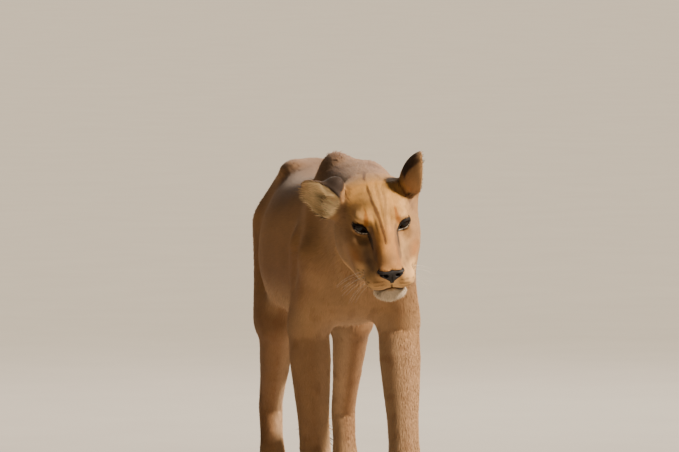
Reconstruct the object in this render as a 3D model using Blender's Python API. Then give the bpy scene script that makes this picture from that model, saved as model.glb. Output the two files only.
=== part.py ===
"""A life-size lioness, walking slowly with her head held low, as a still museum model.

The body is modelled whole, as soft masses (bones with their muscle) that melt into each other, and
is then parted with thin saw cuts into the pieces a person would name. Metres, +Z up. She faces -Y,
her left side is +X, and she stands on z = 0. The surface is the outside of the coat.
"""

import math

import bmesh
import bpy
import numpy as np
from mathutils import Matrix, Vector

# ---------------------------------------------------------------- driving dimensions
KERF = 0.0006  # width of the saw cuts that part the body
SOLE_TRIM = 0.0012  # what is shaved off under the paws to make them flat
GAP = 0.0004  # clearance round an eyeball and round the nose leather
SHARP = math.radians(55)  # edges sharper than this stay crisp
HEAD_CELL = 0.0042  # spacing of the modelling grid on the head
BODY_CELL = 0.0075  # and away from it
SHOULDER_BACK = -0.155  # y of the cut behind the shoulders
RUMP_BACK = 0.640  # how far back the cuts beside the rump run
FACE_REACH = 0.155  # how far the finely faceted face reaches from the middle of the head
FACE_TRIANGLES = 1500
BODY_TRIANGLES = 3700  # the rest, before it is cut

EYE_MIDPOINT = Vector((0.0, -0.80, 0.76))  # halfway between the pupils
HEAD_PITCH = math.radians(26)  # nose down
HEAD_YAW = math.radians(1)  # towards her left
HEAD_ROLL = math.radians(7)  # left side up

EYE_RADIUS = 0.0185
EYE_HALF_SPACING = 0.0550
EYE_SET_BACK = 0.013  # the eyeball's centre behind the head's origin
EYE_SLANT = math.radians(20)  # inner corners lower

# The trunk from breast to tail: (y, top z, z of the widest place, bottom z, half width).
TRUNK = (
    (-0.54, 0.780, 0.685, 0.600, 0.070),
    (-0.46, 0.860, 0.675, 0.532, 0.104),
    (-0.35, 0.892, 0.665, 0.492, 0.128),
    (-0.23, 0.884, 0.655, 0.480, 0.148),
    (-0.08, 0.866, 0.645, 0.475, 0.172),
    (0.06, 0.858, 0.635, 0.475, 0.186),
    (0.17, 0.858, 0.640, 0.486, 0.178),
    (0.29, 0.866, 0.670, 0.534, 0.144),
    (0.41, 0.866, 0.695, 0.600, 0.104),
    (0.51, 0.836, 0.705, 0.640, 0.082),
    (0.58, 0.790, 0.720, 0.670, 0.053),
)
NECK = (
    (-0.72, 0.862, 0.790, 0.715, 0.078),
    (-0.64, 0.882, 0.785, 0.685, 0.090),
    (-0.54, 0.893, 0.775, 0.640, 0.100),
    (-0.44, 0.900, 0.760, 0.590, 0.110),
    (-0.33, 0.898, 0.740, 0.560, 0.112),
    (-0.20, 0.850, 0.700, 0.600, 0.080),
)

# Joints of each leg: x, y, z. The left forefoot is set forward and the right hind foot trails.
FORELEGS = {
    "left": {
        "scapula": (0.046, -0.290, 0.845),
        "shoulder": (0.080, -0.470, 0.690),
        "triceps": (0.090, -0.330, 0.670),
        "elbow": (0.104, -0.400, 0.480),
        "wrist": (0.098, -0.530, 0.180),
        "knuckle": (0.095, -0.578, 0.066),
    },
    "right": {
        "scapula": (-0.042, -0.290, 0.880),
        "shoulder": (-0.098, -0.440, 0.665),
        "triceps": (-0.100, -0.310, 0.680),
        "elbow": (-0.109, -0.275, 0.470),
        "wrist": (-0.094, -0.285, 0.170),
        "knuckle": (-0.092, -0.325, 0.066),
    },
}
HIND_LEGS = {
    "left": {
        "hip": (0.072, 0.410, 0.715),
        "ischium": (0.050, 0.540, 0.735),
        "knee": (0.088, 0.285, 0.450),
        "ankle": (0.086, 0.430, 0.210),
        "heel": (0.086, 0.462, 0.250),
        "knuckle": (0.086, 0.390, 0.064),
    },
    "right": {
        "hip": (-0.072, 0.425, 0.715),
        "ischium": (-0.050, 0.545, 0.735),
        "knee": (-0.092, 0.370, 0.440),
        "ankle": (-0.086, 0.578, 0.215),
        "heel": (-0.086, 0.612, 0.254),
        "knuckle": (-0.084, 0.550, 0.064),
    },
}

# Ears in the head's own axes: base, length, lean outwards, turn of the opening from forwards to
# outwards, how far it faces up, tilt of the tip, and the muscle behind the cup: its centre across,
# along and out from the cup's middle, and its radius.
EARS = {
    "left": {
        "side": 1,
        "base": (0.095, -0.122, 0.037),
        "length": 0.106,
        "lean": 31,
        "turn": 88,
        "facing_up": 0.12,
        "tip": 6,
        "muscle": ((0.010, -0.044, -0.010), 0.028),
    },
    "right": {
        "side": -1,
        "base": (0.090, -0.100, 0.006),
        "length": 0.135,
        "lean": 60,
        "turn": 12,
        "facing_up": -0.35,
        "tip": -8,
        "muscle": ((-0.036, -0.018, -0.026), 0.025),
    },
}
EAR_HALF_WIDTH = 0.045
EAR_DEPTH = 0.036
EAR_HALF_THICKNESS = 0.0042
EAR_CUT = 0.020  # how far above its base an ear is parted from the head

# The tail hangs behind the hocks: x, y, z, radius.
TAIL = (
    (0.000, 0.560, 0.800, 0.044),
    (0.004, 0.635, 0.775, 0.034),
    (0.014, 0.688, 0.690, 0.027),
    (0.030, 0.705, 0.570, 0.022),
    (0.048, 0.700, 0.440, 0.0195),
    (0.060, 0.700, 0.320, 0.0185),
    (0.066, 0.722, 0.225, 0.0180),
    (0.070, 0.762, 0.160, 0.0220),
    (0.074, 0.815, 0.130, 0.0310),
    (0.077, 0.868, 0.128, 0.0200),
    (0.079, 0.905, 0.136, 0.0070),
)

# The head in its own axes, from nape to nose: (y, top z, z of the widest place, bottom z, half width).
SKULL = (
    (-0.200, 0.036, -0.015, -0.090, 0.082),
    (-0.160, 0.052, -0.012, -0.112, 0.099),
    (-0.115, 0.060, -0.024, -0.126, 0.106),
    (-0.070, 0.058, -0.034, -0.126, 0.101),
    (-0.035, 0.049, -0.040, -0.120, 0.091),
    (0.000, 0.026, -0.054, -0.112, 0.077),
    (0.030, -0.006, -0.066, -0.108, 0.064),
    (0.060, -0.026, -0.074, -0.105, 0.059),
    (0.090, -0.040, -0.083, -0.106, 0.055),
    (0.114, -0.050, -0.086, -0.106, 0.045),
    (0.129, -0.060, -0.083, -0.102, 0.028),
)
# Half the outline of the nose's bare leather: x, z in the head's axes.
NOSE_OUTLINE = (
    (0.0, -0.036),
    (0.031, -0.037),
    (0.037, -0.046),
    (0.034, -0.060),
    (0.019, -0.074),
    (0.006, -0.087),
)
NOSE_BACK, NOSE_FRONT = 0.1165, 0.170  # how deep the leather's block reaches

MATERIALS = {
    "coat": ((0.50, 0.345, 0.20), 0.9),
    "pale_coat": ((0.62, 0.50, 0.36), 0.9),
    "tail_tuft": ((0.055, 0.035, 0.025), 0.9),
    "nose_leather": ((0.030, 0.022, 0.020), 0.5),
    "eye": ((0.24, 0.12, 0.035), 0.15),
}
PALE = ("lower_jaw", "forepaw_left", "forepaw_right", "hind_paw_left", "hind_paw_right")


# ---------------------------------------------------------------- soft masses
def smooth_min(a, b, soft):
    h = np.clip(0.5 + 0.5 * (b - a) / soft, 0, 1)
    return b + (a - b) * h - soft * h * (1 - h)


def between(a, b, share):
    return tuple(p + (q - p) * share for p, q in zip(a, b))


def offset(a, x=0.0, y=0.0, z=0.0):
    return (a[0] + x, a[1] + y, a[2] + z)


def stations(a, b, girths):
    """(x, y, z, radius) along the line from a to b."""
    return [(*between(a, b, share), radius) for share, radius in girths]


class Clay:
    """Signed distance to a body of soft masses at many points: below 0 inside."""

    REACH = 0.05  # how far from a mass its distance is worked out

    def __init__(self, points):
        self.points = points
        self.distance = np.full(len(points), 1.0)

    def near(self, low, high, soft):
        room = self.REACH + soft
        inside = np.all((self.points > low - room) & (self.points < high + room), axis=1)
        return np.flatnonzero(inside)

    def merge(self, chosen, distance, soft):
        self.distance[chosen] = smooth_min(self.distance[chosen], distance, soft)

    def limb(self, a, b, radius_a, radius_b, soft=0.02, wide=1.0):
        """A tapered round bar from a to b; wide stretches it sideways."""
        a, b = np.array(a, float), np.array(b, float)
        most = max(radius_a, radius_b) * max(wide, 1.0)
        chosen = self.near(np.minimum(a, b) - most, np.maximum(a, b) + most, soft)
        stretch = np.array((wide, 1.0, 1.0))
        p, q, s = self.points[chosen] / stretch, a / stretch, (b - a) / stretch
        t = np.clip((p - q) @ s / (s @ s), 0, 1)
        away = np.linalg.norm(p - q - t[:, None] * s, axis=1)
        self.merge(chosen, away - radius_a - t * (radius_b - radius_a), soft)

    def chain(self, line, soft=0.02, wide=1.0):
        """Limbs joined end to end through (x, y, z, radius) stations."""
        for a, b in zip(line[:-1], line[1:]):
            self.limb(a[:3], b[:3], a[3], b[3], soft, wide)

    def ball_distance(self, centre, radii, soft, turn):
        centre, radii = np.array(centre, float), np.array(radii, float)
        chosen = self.near(centre - radii.max(), centre + radii.max(), soft)
        p = self.points[chosen] - centre
        if turn is not None:
            p = p @ turn
        scaled = np.linalg.norm(p / radii, axis=1)
        steep = np.linalg.norm(p / radii**2, axis=1)
        return chosen, scaled * (scaled - 1) / np.maximum(steep, 1e-9)

    def ball(self, centre, radii, soft=0.02, turn=None):
        """An ellipsoid; turn is a 3x3 matrix whose columns are its axes."""
        chosen, distance = self.ball_distance(centre, radii, soft, turn)
        self.merge(chosen, distance, soft)

    def hollow(self, centre, radii, soft=0.01, turn=None):
        """Takes an ellipsoid away."""
        chosen, distance = self.ball_distance(centre, radii, soft, turn)
        self.distance[chosen] = -smooth_min(-self.distance[chosen], distance, soft)

    def loft(self, sections, soft=0.03, power=2.25):
        """An egg-sectioned tube along Y through (y, top, widest, bottom, half width) sections."""
        table = np.array(sections)
        low = np.array((-table[:, 4].max(), table[0, 0], table[:, 3].min()))
        high = np.array((table[:, 4].max(), table[-1, 0], table[:, 1].max()))
        chosen = self.near(low, high, soft)
        x, y, z = self.points[chosen].T
        along = np.clip(y, table[0, 0], table[-1, 0])
        top, widest, bottom, half = (smooth_curve(along, table[:, 0], row) for row in table.T[1:])
        tall = np.where(z > widest, top - widest, widest - bottom)
        u, v = np.abs(x) / half + 1e-6, np.abs(z - widest) / tall + 1e-6
        size = (u**power + v**power) ** (1 / power)
        slope = np.hypot((u / size) ** (power - 1) / half, (v / size) ** (power - 1) / tall)
        section = (size - 1) / slope
        beyond = np.abs(y - along)
        distance = np.where(beyond > 0, np.hypot(np.maximum(section, 0), beyond), section)
        self.merge(chosen, distance, soft)

    def join(self, other, chosen, soft):
        self.merge(chosen, other.distance, soft)


def smooth_curve(x, knots, values):
    """A Catmull-Rom curve through (knots, values)."""
    slopes = np.gradient(values, knots)
    k = np.clip(np.searchsorted(knots, x, side="right") - 1, 0, len(knots) - 2)
    width = knots[k + 1] - knots[k]
    t = (x - knots[k]) / width
    return (
        values[k] * (2 * t**3 - 3 * t**2 + 1)
        + slopes[k] * width * (t**3 - 2 * t**2 + t)
        + values[k + 1] * (3 * t**2 - 2 * t**3)
        + slopes[k + 1] * width * (t**3 - t**2)
    )


# ---------------------------------------------------------------- frames
def head_axes():
    """Columns: her left, forwards along the muzzle, up through the crown."""
    roll = Matrix.Rotation(-HEAD_ROLL, 3, "Y")
    pitch = Matrix.Rotation(HEAD_PITCH, 3, "X")
    yaw = Matrix.Rotation(HEAD_YAW, 3, "Z")
    level = Matrix(((1, 0, 0), (0, -1, 0), (0, 0, 1)))
    return np.array(yaw @ pitch @ roll @ level)


def to_head(points):
    return (points - np.array(EYE_MIDPOINT)) @ head_axes()


def from_head(point):
    return Vector(head_axes() @ np.array(point, float)) + EYE_MIDPOINT


def head_direction(direction):
    return Vector(head_axes() @ np.array(direction, float))


def ear_frame(ear):
    """The ear's base in the head's axes, and its own axes: across, to the tip, out of the cup."""
    side, lean, turn, tip = ear["side"], *(math.radians(ear[k]) for k in ("lean", "turn", "tip"))
    to_tip = Vector((side * math.sin(lean), math.sin(tip), math.cos(lean))).normalized()
    facing = Vector((side * math.sin(turn), math.cos(turn), ear["facing_up"]))
    out = (facing - facing.dot(to_tip) * to_tip).normalized()
    across = to_tip.cross(out)
    base = ear["base"]
    return np.array((side * base[0], base[1], base[2])), np.array((across, to_tip, out)).T


# ---------------------------------------------------------------- head
def slanted(side):
    """Axes of an opening that rises outwards."""
    return np.array(Matrix.Rotation(-side * EYE_SLANT, 3, "Y"))


def head_distance(points):
    """The head in its own axes: x to her left, y forwards, z up, from the midpoint of the eyes."""
    head = Clay(points)
    head.loft(SKULL, 0.01, 2.1)
    head.limb((0, -0.040, 0.020), (0, 0.030, -0.006), 0.030, 0.0215, 0.022, wide=1.25)  # stop
    head.limb((0, 0.020, -0.004), (0, 0.118, -0.063), 0.0215, 0.0185, 0.018, wide=1.4)  # bridge
    head.limb((0, 0.082, -0.126), (0, -0.05, -0.106), 0.025, 0.040, 0.02, wide=1.1)  # lower jaw
    head.ball((0, 0.088, -0.130), (0.040, 0.030, 0.024), 0.018)  # chin
    for side in (-1, 1):
        head.ball((side * 0.041, -0.018, 0.024), (0.028, 0.024, 0.013), 0.018)  # brow
        head.ball((side * 0.067, -0.016, -0.038), (0.024, 0.040, 0.022), 0.035)  # cheekbone
        head.ball((side * 0.058, 0.004, -0.076), (0.024, 0.046, 0.034), 0.035)  # cheek
        head.ball((side * 0.062 - 0.003, -0.080, -0.080), (0.045, 0.068, 0.056), 0.03)  # jaw muscle
        head.ball((side * 0.074, -0.120, 0.018), (0.036, 0.046, 0.034), 0.03)  # root of the ear
        head.ball((side * 0.032, 0.098, -0.090), (0.033, 0.036, 0.0255), 0.012)  # whisker pad
        head.limb((side * 0.050, 0.045, -0.110), (side * 0.054, -0.050, -0.108), 0.018, 0.034, 0.03)
        head.ball((side * 0.015, 0.125, -0.063), (0.022, 0.016, 0.0165), 0.010)  # wing of the nose
    head.ball((0, 0.125, -0.074), (0.014, 0.015, 0.018), 0.010)  # middle of the nose
    for side in (-1, 1):
        # the hollow round the eye, the lids over the eyeball, and the opening between them
        head.hollow((side * 0.057, 0.024, -0.003), (0.025, 0.017, 0.016), 0.014, slanted(side))
        head.ball((side * EYE_HALF_SPACING, -EYE_SET_BACK, 0), (EYE_RADIUS + 0.003,) * 3, 0.008)
        head.hollow((side * 0.056, 0.014, 0.000), (0.018, 0.016, 0.0075), 0.003, slanted(side))
    return head.distance


def ear_distance(points, ear):
    base, axes = ear_frame(ear)
    across, along, out = ((points - base) @ axes).T
    distance = np.full(len(points), 1.0)
    close = (np.abs(across) < 0.12) & (np.abs(along - 0.05) < 0.14) & (np.abs(out) < 0.11)
    chosen = np.flatnonzero(close)
    length = ear["length"]
    p = np.stack((across[chosen], along[chosen] - length * 0.44, out[chosen] + 0.004), axis=1)
    p[:, 0] /= np.clip(1.0 - 3.6 * p[:, 1], 0.75, 1.1)
    radii = np.array((EAR_HALF_WIDTH, length * 0.58, EAR_DEPTH))
    scaled = np.linalg.norm(p / radii, axis=1)
    steep = np.linalg.norm(p / radii**2, axis=1)
    bowl = np.abs(scaled * (scaled - 1) / np.maximum(steep, 1e-9)) - EAR_HALF_THICKNESS
    opening = p[:, 2] - 0.020 + 0.42 * (p[:, 1] + length * 0.40)
    cup = -smooth_min(-bowl, -opening, 0.004)
    root = np.linalg.norm((p - (0, -0.052, -0.002)) / (0.95, 1.1, 0.95), axis=1) - 0.032
    centre, radius = ear["muscle"]
    muscle = np.linalg.norm(p - centre, axis=1) - radius
    distance[chosen] = smooth_min(smooth_min(cup, root, 0.014), muscle, 0.014)
    return distance


# ---------------------------------------------------------------- trunk and limbs
def paw(clay, knuckle, size):
    """Four toes on flat pads; size is 1 for a forepaw."""
    x, y, _ = knuckle
    clay.limb((x, y, 0.066), (x, y - 0.046 * size, 0.046), 0.040 * size, 0.031 * size, 0.010, wide=1.12)
    clay.ball((x, y + 0.004 * size, 0.022), (0.038 * size, 0.040 * size, 0.030), 0.012)
    clay.ball((x, y - 0.045 * size, 0.012), (0.044 * size, 0.042 * size, 0.018), 0.010)
    for rank in (-1.5, -0.5, 0.5, 1.5):
        spread = rank * 0.0250 * size
        back = 0.008 * (abs(rank) - 0.5)
        clay.limb(
            (x + spread * 0.86, y - 0.040 * size + back, 0.043),
            (x + spread * 1.04, y - 0.082 * size + back, 0.0215),
            0.0205 * size,
            0.0190 * size,
            0.0075,
        )


def foreleg(clay, joints, side):
    scapula, shoulder, elbow = joints["scapula"], joints["shoulder"], joints["elbow"]
    wrist, knuckle = joints["wrist"], joints["knuckle"]
    clay.limb(scapula, shoulder, 0.036, 0.056, 0.01)
    clay.ball(scapula, (0.030, 0.080, 0.044), 0.03)  # crest of the shoulder blade
    clay.limb(joints["triceps"], offset(elbow, y=0.012, z=0.03), 0.066, 0.045, 0.04)
    clay.limb(shoulder, elbow, 0.056, 0.054, 0.04)
    clay.ball(offset(elbow, y=0.040, z=0.015), (0.024, 0.026, 0.034), 0.02)  # point of the elbow
    girths = ((0.0, 0.054), (0.25, 0.0545), (0.50, 0.0485), (0.75, 0.0420), (1.0, 0.0405))
    clay.chain(stations(elbow, wrist, girths), 0.001)
    clay.chain(stations(wrist, knuckle, ((0.0, 0.0405), (0.5, 0.038), (1.0, 0.040))), 0.001, wide=1.06)
    clay.ball(offset(wrist, y=0.032, z=-0.012), (0.014, 0.013, 0.016), 0.014)  # wrist pad
    dewclaw = offset(wrist, x=-side * 0.034, y=-0.006, z=-0.060)
    clay.ball(dewclaw, (0.012, 0.014, 0.020), 0.012)
    paw(clay, knuckle, 1.0)


def hind_leg(clay, joints, side):
    hip, knee, ankle = joints["hip"], joints["knee"], joints["ankle"]
    heel, knuckle = joints["heel"], joints["knuckle"]
    clay.limb(hip, knee, 0.076, 0.053, 0.01)
    clay.limb(offset(hip, y=-0.080, z=-0.01), offset(knee, y=0.004, z=0.035), 0.064, 0.052, 0.04)
    clay.limb(joints["ischium"], offset(knee, y=0.085, z=0.01), 0.064, 0.042, 0.05)
    clay.limb(offset(hip, y=0.03, z=-0.02), offset(knee, y=0.06, z=0.02), 0.072, 0.050, 0.05)
    girths = ((0.0, 0.050), (0.35, 0.043), (0.7, 0.034), (1.0, 0.0325))
    clay.chain(stations(knee, ankle, girths), 0.001)
    calf = offset(knee, y=0.050, z=-0.01)
    clay.limb(calf, between(calf, heel, 0.50), 0.044, 0.028, 0.03)
    clay.limb(between(calf, heel, 0.40), heel, 0.026, 0.0175, 0.03)
    clay.limb(between(knee, ankle, 0.55), between(ankle, heel, 0.5), 0.030, 0.024, 0.02)
    clay.ball(heel, (0.019, 0.020, 0.022), 0.012)
    girths = ((0.0, 0.0325), (0.5, 0.030), (1.0, 0.036))
    clay.chain(stations(ankle, knuckle, girths), 0.001, wide=1.05)
    clay.limb(heel, offset(knuckle, y=0.022, z=0.02), 0.019, 0.022, 0.02)
    paw(clay, knuckle, 0.90)
    fold = (side * 0.105, min(knee[1], 0.31) - 0.11, 0.560)
    clay.limb(offset(knee, y=-0.012, z=0.075), fold, 0.034, 0.046, 0.04)  # fold of skin at the flank


def body_distance(points):
    """Signed distance to the outside of the coat, without the eyes."""
    clay = Clay(points)
    clay.loft(TRUNK)
    clay.loft(NECK, 0.05)
    clay.ball((0, 0.40, 0.785), (0.108, 0.165, 0.092), 0.04)  # pelvis
    for sign in (-1, 1):
        clay.ball((sign * 0.062, 0.335, 0.850), (0.030, 0.050, 0.026), 0.04)  # point of the hip
    for side, sign in (("left", 1), ("right", -1)):
        for build, joints in ((foreleg, FORELEGS[side]), (hind_leg, HIND_LEGS[side])):
            corners = np.array(list(joints.values()))
            chosen = clay.near(corners.min(axis=0) - 0.20, corners.max(axis=0) + 0.20, 0)
            leg = Clay(points[chosen])
            build(leg, joints, sign)
            clay.join(leg, chosen, 0.045)
    tail = Clay(points)
    tail.chain(TAIL, 0.002)
    clay.join(tail, slice(None), 0.03)
    chosen = clay.near(np.array(EYE_MIDPOINT) - 0.30, np.array(EYE_MIDPOINT) + 0.30, 0)
    local = to_head(points[chosen])
    head = Clay(local)
    head.distance = head_distance(local)
    clay.join(head, chosen, 0.035)
    for ear in EARS.values():
        head.distance = ear_distance(local, ear)
        clay.join(head, chosen, 0.010)
    clay.distance = np.maximum(clay.distance, -points[:, 2])  # flat soles
    return clay.distance


# ---------------------------------------------------------------- from masses to a mesh
class Lens:
    """A grid that is fine round the head and widens smoothly away from it."""

    FINE, COARSE = 0.17, 0.45  # radii between which the cells grow

    def __init__(self):
        self.real = np.linspace(0, 2.5, 5001)
        t = np.clip((self.real - self.FINE) / (self.COARSE - self.FINE), 0, 1)
        growth = 1 + (BODY_CELL / HEAD_CELL - 1) * t * t * (3 - 2 * t)
        self.drawn = np.concatenate(((0,), np.cumsum(np.diff(self.real) / growth[1:])))
        self.centre = np.array(from_head((0, -0.03, -0.02)))

    def to_real(self, drawn):
        radius = np.linalg.norm(drawn, axis=-1, keepdims=True) + 1e-9
        return drawn * (np.interp(radius, self.drawn, self.real) / radius) + self.centre

    def to_drawn(self, real):
        away = real - self.centre
        radius = np.linalg.norm(away, axis=-1, keepdims=True) + 1e-9
        return away * (np.interp(radius, self.real, self.drawn) / radius)


CORNERS = np.array([(i, j, k) for i in (0, 1) for j in (0, 1) for k in (0, 1)])
CELL_EDGES = [(a, b) for a in CORNERS for b in CORNERS if (b - a).sum() == 1 and (b - a).min() == 0]


def untie(value, rounds=12):
    """Flips the faintest corner of each grid square whose corners alternate in and out."""
    for _ in range(rounds):
        flipped = 0
        for axis in range(3):
            one, two = np.eye(3, dtype=int)[[(axis + 1) % 3, (axis + 2) % 3]]
            ring = np.array((0 * one, one, one + two, two))
            span = np.array(value.shape) - one - two
            sides = [value[tuple(slice(a, a + n) for a, n in zip(shift, span))] < 0 for shift in ring]
            tied = np.argwhere((sides[0] == sides[2]) & (sides[1] == sides[3]) & (sides[0] != sides[1]))
            corners = tied[:, None, :] + ring[None]
            faint = np.abs(value[tuple(np.moveaxis(corners, -1, 0))]).argmin(axis=1)
            chosen = tuple(corners[np.arange(len(tied)), faint].T)
            value[chosen] = np.where(value[chosen] < 0, 1e-7, -1e-7)
            flipped += len(tied)
        if not flipped:
            return


def surface_points_and_quads(field, low, high):
    """Wraps the field's zero surface in quads, one vertex to each grid cell that it crosses."""
    lens = Lens()
    rim = np.stack(np.meshgrid(*(np.linspace(a, b, 24) for a, b in zip(low, high)), indexing="ij"), -1)
    drawn = lens.to_drawn(rim.reshape(-1, 3))
    start = drawn.min(axis=0) - 3 * HEAD_CELL
    counts = np.ceil((drawn.max(axis=0) + 3 * HEAD_CELL - start) / HEAD_CELL).astype(int)

    def place(index):
        return lens.to_real(start + index * HEAD_CELL)

    value = np.empty(counts)
    for slab in np.array_split(np.arange(counts[0]), max(1, counts[0] // 12)):
        index = np.stack(np.meshgrid(slab, *map(np.arange, counts[1:]), indexing="ij"), -1)
        value[slab] = field(place(index.reshape(-1, 3))).reshape(index.shape[:3])
    untie(value)
    inside = value < 0
    share = sum(inside[i : i - 1 or None, j : j - 1 or None, k : k - 1 or None].astype(np.int8)
                for i, j, k in CORNERS)
    cells = np.argwhere((share > 0) & (share < 8))
    number = np.full(counts - 1, -1)
    number[tuple(cells.T)] = np.arange(len(cells))
    total, crossings = np.zeros(cells.shape), np.zeros(len(cells))
    for a, b in CELL_EDGES:
        va, vb = value[tuple((cells + a).T)], value[tuple((cells + b).T)]
        cut = (va < 0) != (vb < 0)
        share = (va / np.where(cut, va - vb, 1))[cut, None]
        total[cut] += cells[cut] + a + share * (b - a)
        crossings[cut] += 1
    points = place(total / crossings[:, None])
    quads = []
    for axis in range(3):
        one, two = np.eye(3, dtype=int)[[(axis + 1) % 3, (axis + 2) % 3]]
        step = np.eye(3, dtype=int)[axis]
        here = inside[tuple(slice(0, n - s) for n, s in zip(counts, step))]
        there = inside[tuple(slice(s, None) for s in step)]
        for edges, turned in ((np.argwhere(here & ~there), 1), (np.argwhere(~here & there), -1)):
            ring = [number[tuple((edges - shift).T)] for shift in (one + two, two, 0 * one, one)]
            quads.append(np.stack(ring[::turned], axis=1))
    return points, np.concatenate(quads)


def settle(field, points, rounds=2, probe=0.0008):
    """Moves points onto the field's zero surface."""
    for _ in range(rounds):
        value = field(points)
        slope = np.stack([field(points + probe * axis) - value for axis in np.eye(3)], axis=1) / probe
        steep = np.maximum((slope**2).sum(axis=1), 0.25)
        step = np.clip(value / steep, -0.004, 0.004)
        points = points - slope * step[:, None]
    return points


def mesh_object(name, points, faces):
    mesh = bpy.data.meshes.new(name)
    mesh.from_pydata(points.tolist(), [], faces.tolist())
    mesh.update()
    made = bpy.data.objects.new(name, mesh)
    bpy.context.collection.objects.link(made)
    return made


def apply_modifiers(made):
    """Bakes an object's modifiers into its mesh."""
    bpy.context.view_layer.update()
    graph = bpy.context.evaluated_depsgraph_get()
    mesh = bpy.data.meshes.new_from_object(made.evaluated_get(graph))
    made.modifiers.clear()
    made.data = mesh
    return made


def whole_body():
    corners = np.array((*FORELEGS["left"].values(), *FORELEGS["right"].values(),
                        *HIND_LEGS["left"].values(), *HIND_LEGS["right"].values(),
                        *(station[:3] for station in TAIL), tuple(from_head((0, 0.15, 0)))))
    low, high = corners.min(axis=0) - 0.14, corners.max(axis=0) + 0.12
    low[2], high[2] = -0.01, 1.0
    points, quads = surface_points_and_quads(body_distance, low, high)
    body = mesh_object("body", settle(body_distance, points), quads)
    middle = np.array(from_head((0, 0, -0.04)))
    away = np.linalg.norm(np.array([v.co for v in body.data.vertices]) - middle, axis=1)
    on_face = away[quads].mean(axis=1) < FACE_REACH
    face_full = 2 * int(on_face.sum())
    thin_out(body, np.flatnonzero(away >= FACE_REACH), (face_full + BODY_TRIANGLES) / (2 * len(quads)))
    away = np.linalg.norm(np.array([v.co for v in body.data.vertices]) - middle, axis=1)
    share = (FACE_TRIANGLES + BODY_TRIANGLES) / len(body.data.loop_triangles)
    thin_out(body, np.flatnonzero(away < FACE_REACH), share)
    return body


def thin_out(made, chosen, share):
    """Merges triangles among the chosen vertices until only a share of the whole is left."""
    group = made.vertex_groups.new(name="chosen")
    group.add(chosen.tolist(), 1.0, "REPLACE")
    thin = made.modifiers.new("thin", "DECIMATE")
    thin.ratio, thin.vertex_group = share, group.name
    apply_modifiers(made)
    made.vertex_groups.clear()
    made.data.calc_loop_triangles()


# ---------------------------------------------------------------- saw cuts
def sheet(corners):
    """A thin plate on a planar outline, to saw with."""
    plate = mesh_object("saw", np.array([tuple(c) for c in corners]), np.array([range(len(corners))]))
    solid = plate.modifiers.new("thick", "SOLIDIFY")
    solid.thickness, solid.offset = KERF, 0
    return plate


def plate(centre, normal, half_width, half_depth):
    """A plate across a limb; its width lies along X as nearly as it can."""
    centre, normal = Vector(centre), Vector(normal).normalized()
    side = Vector((1, 0, 0)) - normal * normal.x
    side = side.normalized() * half_width
    up = normal.cross(side).normalized() * half_depth
    return sheet([centre - side - up, centre + side - up, centre + side + up, centre - side + up])


def across_limb(a, b, share, half):
    a, b = Vector(a), Vector(b)
    return plate(a.lerp(b, share), b - a, half, half)


def neck_front(z):
    """y of the plane that parts the neck from the chest."""
    return -0.405 - (0.93 - z) * 0.60


def waist(z):
    """y of the plane that parts the belly from the hindquarters."""
    return 0.155 + (z - 0.50) * 0.20


def limb_plane(sign, z, foot, lean):
    """x of the slanted plane that parts a leg from the trunk."""
    return sign * (foot + (z - 0.47) * lean)


def saws():
    low, high, wide = 0.43, 0.97, 0.30
    plates = [
        sheet([(-wide, SHOULDER_BACK, low), (wide, SHOULDER_BACK, low),
               (wide, SHOULDER_BACK, high), (-wide, SHOULDER_BACK, high)]),
        sheet([(-wide, waist(low), low), (wide, waist(low), low),
               (wide, waist(high), high), (-wide, waist(high), high)]),
        sheet([(-wide, neck_front(0.48), 0.48), (wide, neck_front(0.48), 0.48),
               (wide, neck_front(high), high), (-wide, neck_front(high), high)]),
        sheet([from_head(p) for p in ((0.2, -0.135, -0.19), (-0.2, -0.135, -0.19),
                                      (-0.2, -0.215, 0.16), (0.2, -0.215, 0.16))]),
        sheet([from_head(p) for p in ((0.2, 0.17, -0.111), (-0.2, 0.17, -0.111),
                                      (-0.2, -0.20, -0.080), (0.2, -0.20, -0.080))]),
    ]
    for side, sign in (("left", 1), ("right", -1)):
        bottom = 0.40
        plates.append(sheet([(limb_plane(sign, z, 0.042, 0.225), y, z) for y, z in (
            (SHOULDER_BACK, bottom), (SHOULDER_BACK, high), (neck_front(high), high),
            (neck_front(bottom), bottom))]))
        plates.append(sheet([(limb_plane(sign, z, 0.014, 0.235), y, z) for y, z in (
            (waist(bottom), bottom), (waist(high), high), (RUMP_BACK, high), (RUMP_BACK, bottom))]))
        fore, hind = FORELEGS[side], HIND_LEGS[side]
        plates.append(across_limb(fore["elbow"], fore["wrist"], 0.10, 0.085))
        plates.append(across_limb(fore["elbow"], fore["wrist"], 0.97, 0.065))
        plates.append(plate(between(hind["knee"], hind["ankle"], 0.08), (0, -0.55, 1), 0.098, 0.215))
        plates.append(plate(between(hind["knee"], hind["ankle"], 0.82), (0, -0.75, 1), 0.075, 0.100))
        plates.append(plate(offset(hind["knuckle"], z=0.030), (0, -0.15, 1), 0.075, 0.075))
        base, axes = ear_frame(EARS[side])
        root, to_tip = from_head(base + axes[:, 1] * EAR_CUT), head_direction(axes[:, 1])
        plates.append(plate(root, to_tip, 0.080, 0.080))
    for above, below, share in ((1, 2, 0.4), (5, 6, 0.5), (7, 8, 0.2)):
        plates.append(across_limb(TAIL[above][:3], TAIL[below][:3], share, 0.055))
    return plates


def floor_block():
    """A slab that trims the soles flat."""
    square = ((-1, -1), (1, -1), (1, 1), (-1, 1))
    corners = [(x, y, z) for z in (-0.1, SOLE_TRIM) for x, y in square]
    sides = [(k, (k + 1) % 4, (k + 1) % 4 + 4, k + 4) for k in range(4)]
    return mesh_object("floor", np.array(corners), np.array([(3, 2, 1, 0), (4, 5, 6, 7), *sides]))


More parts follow.
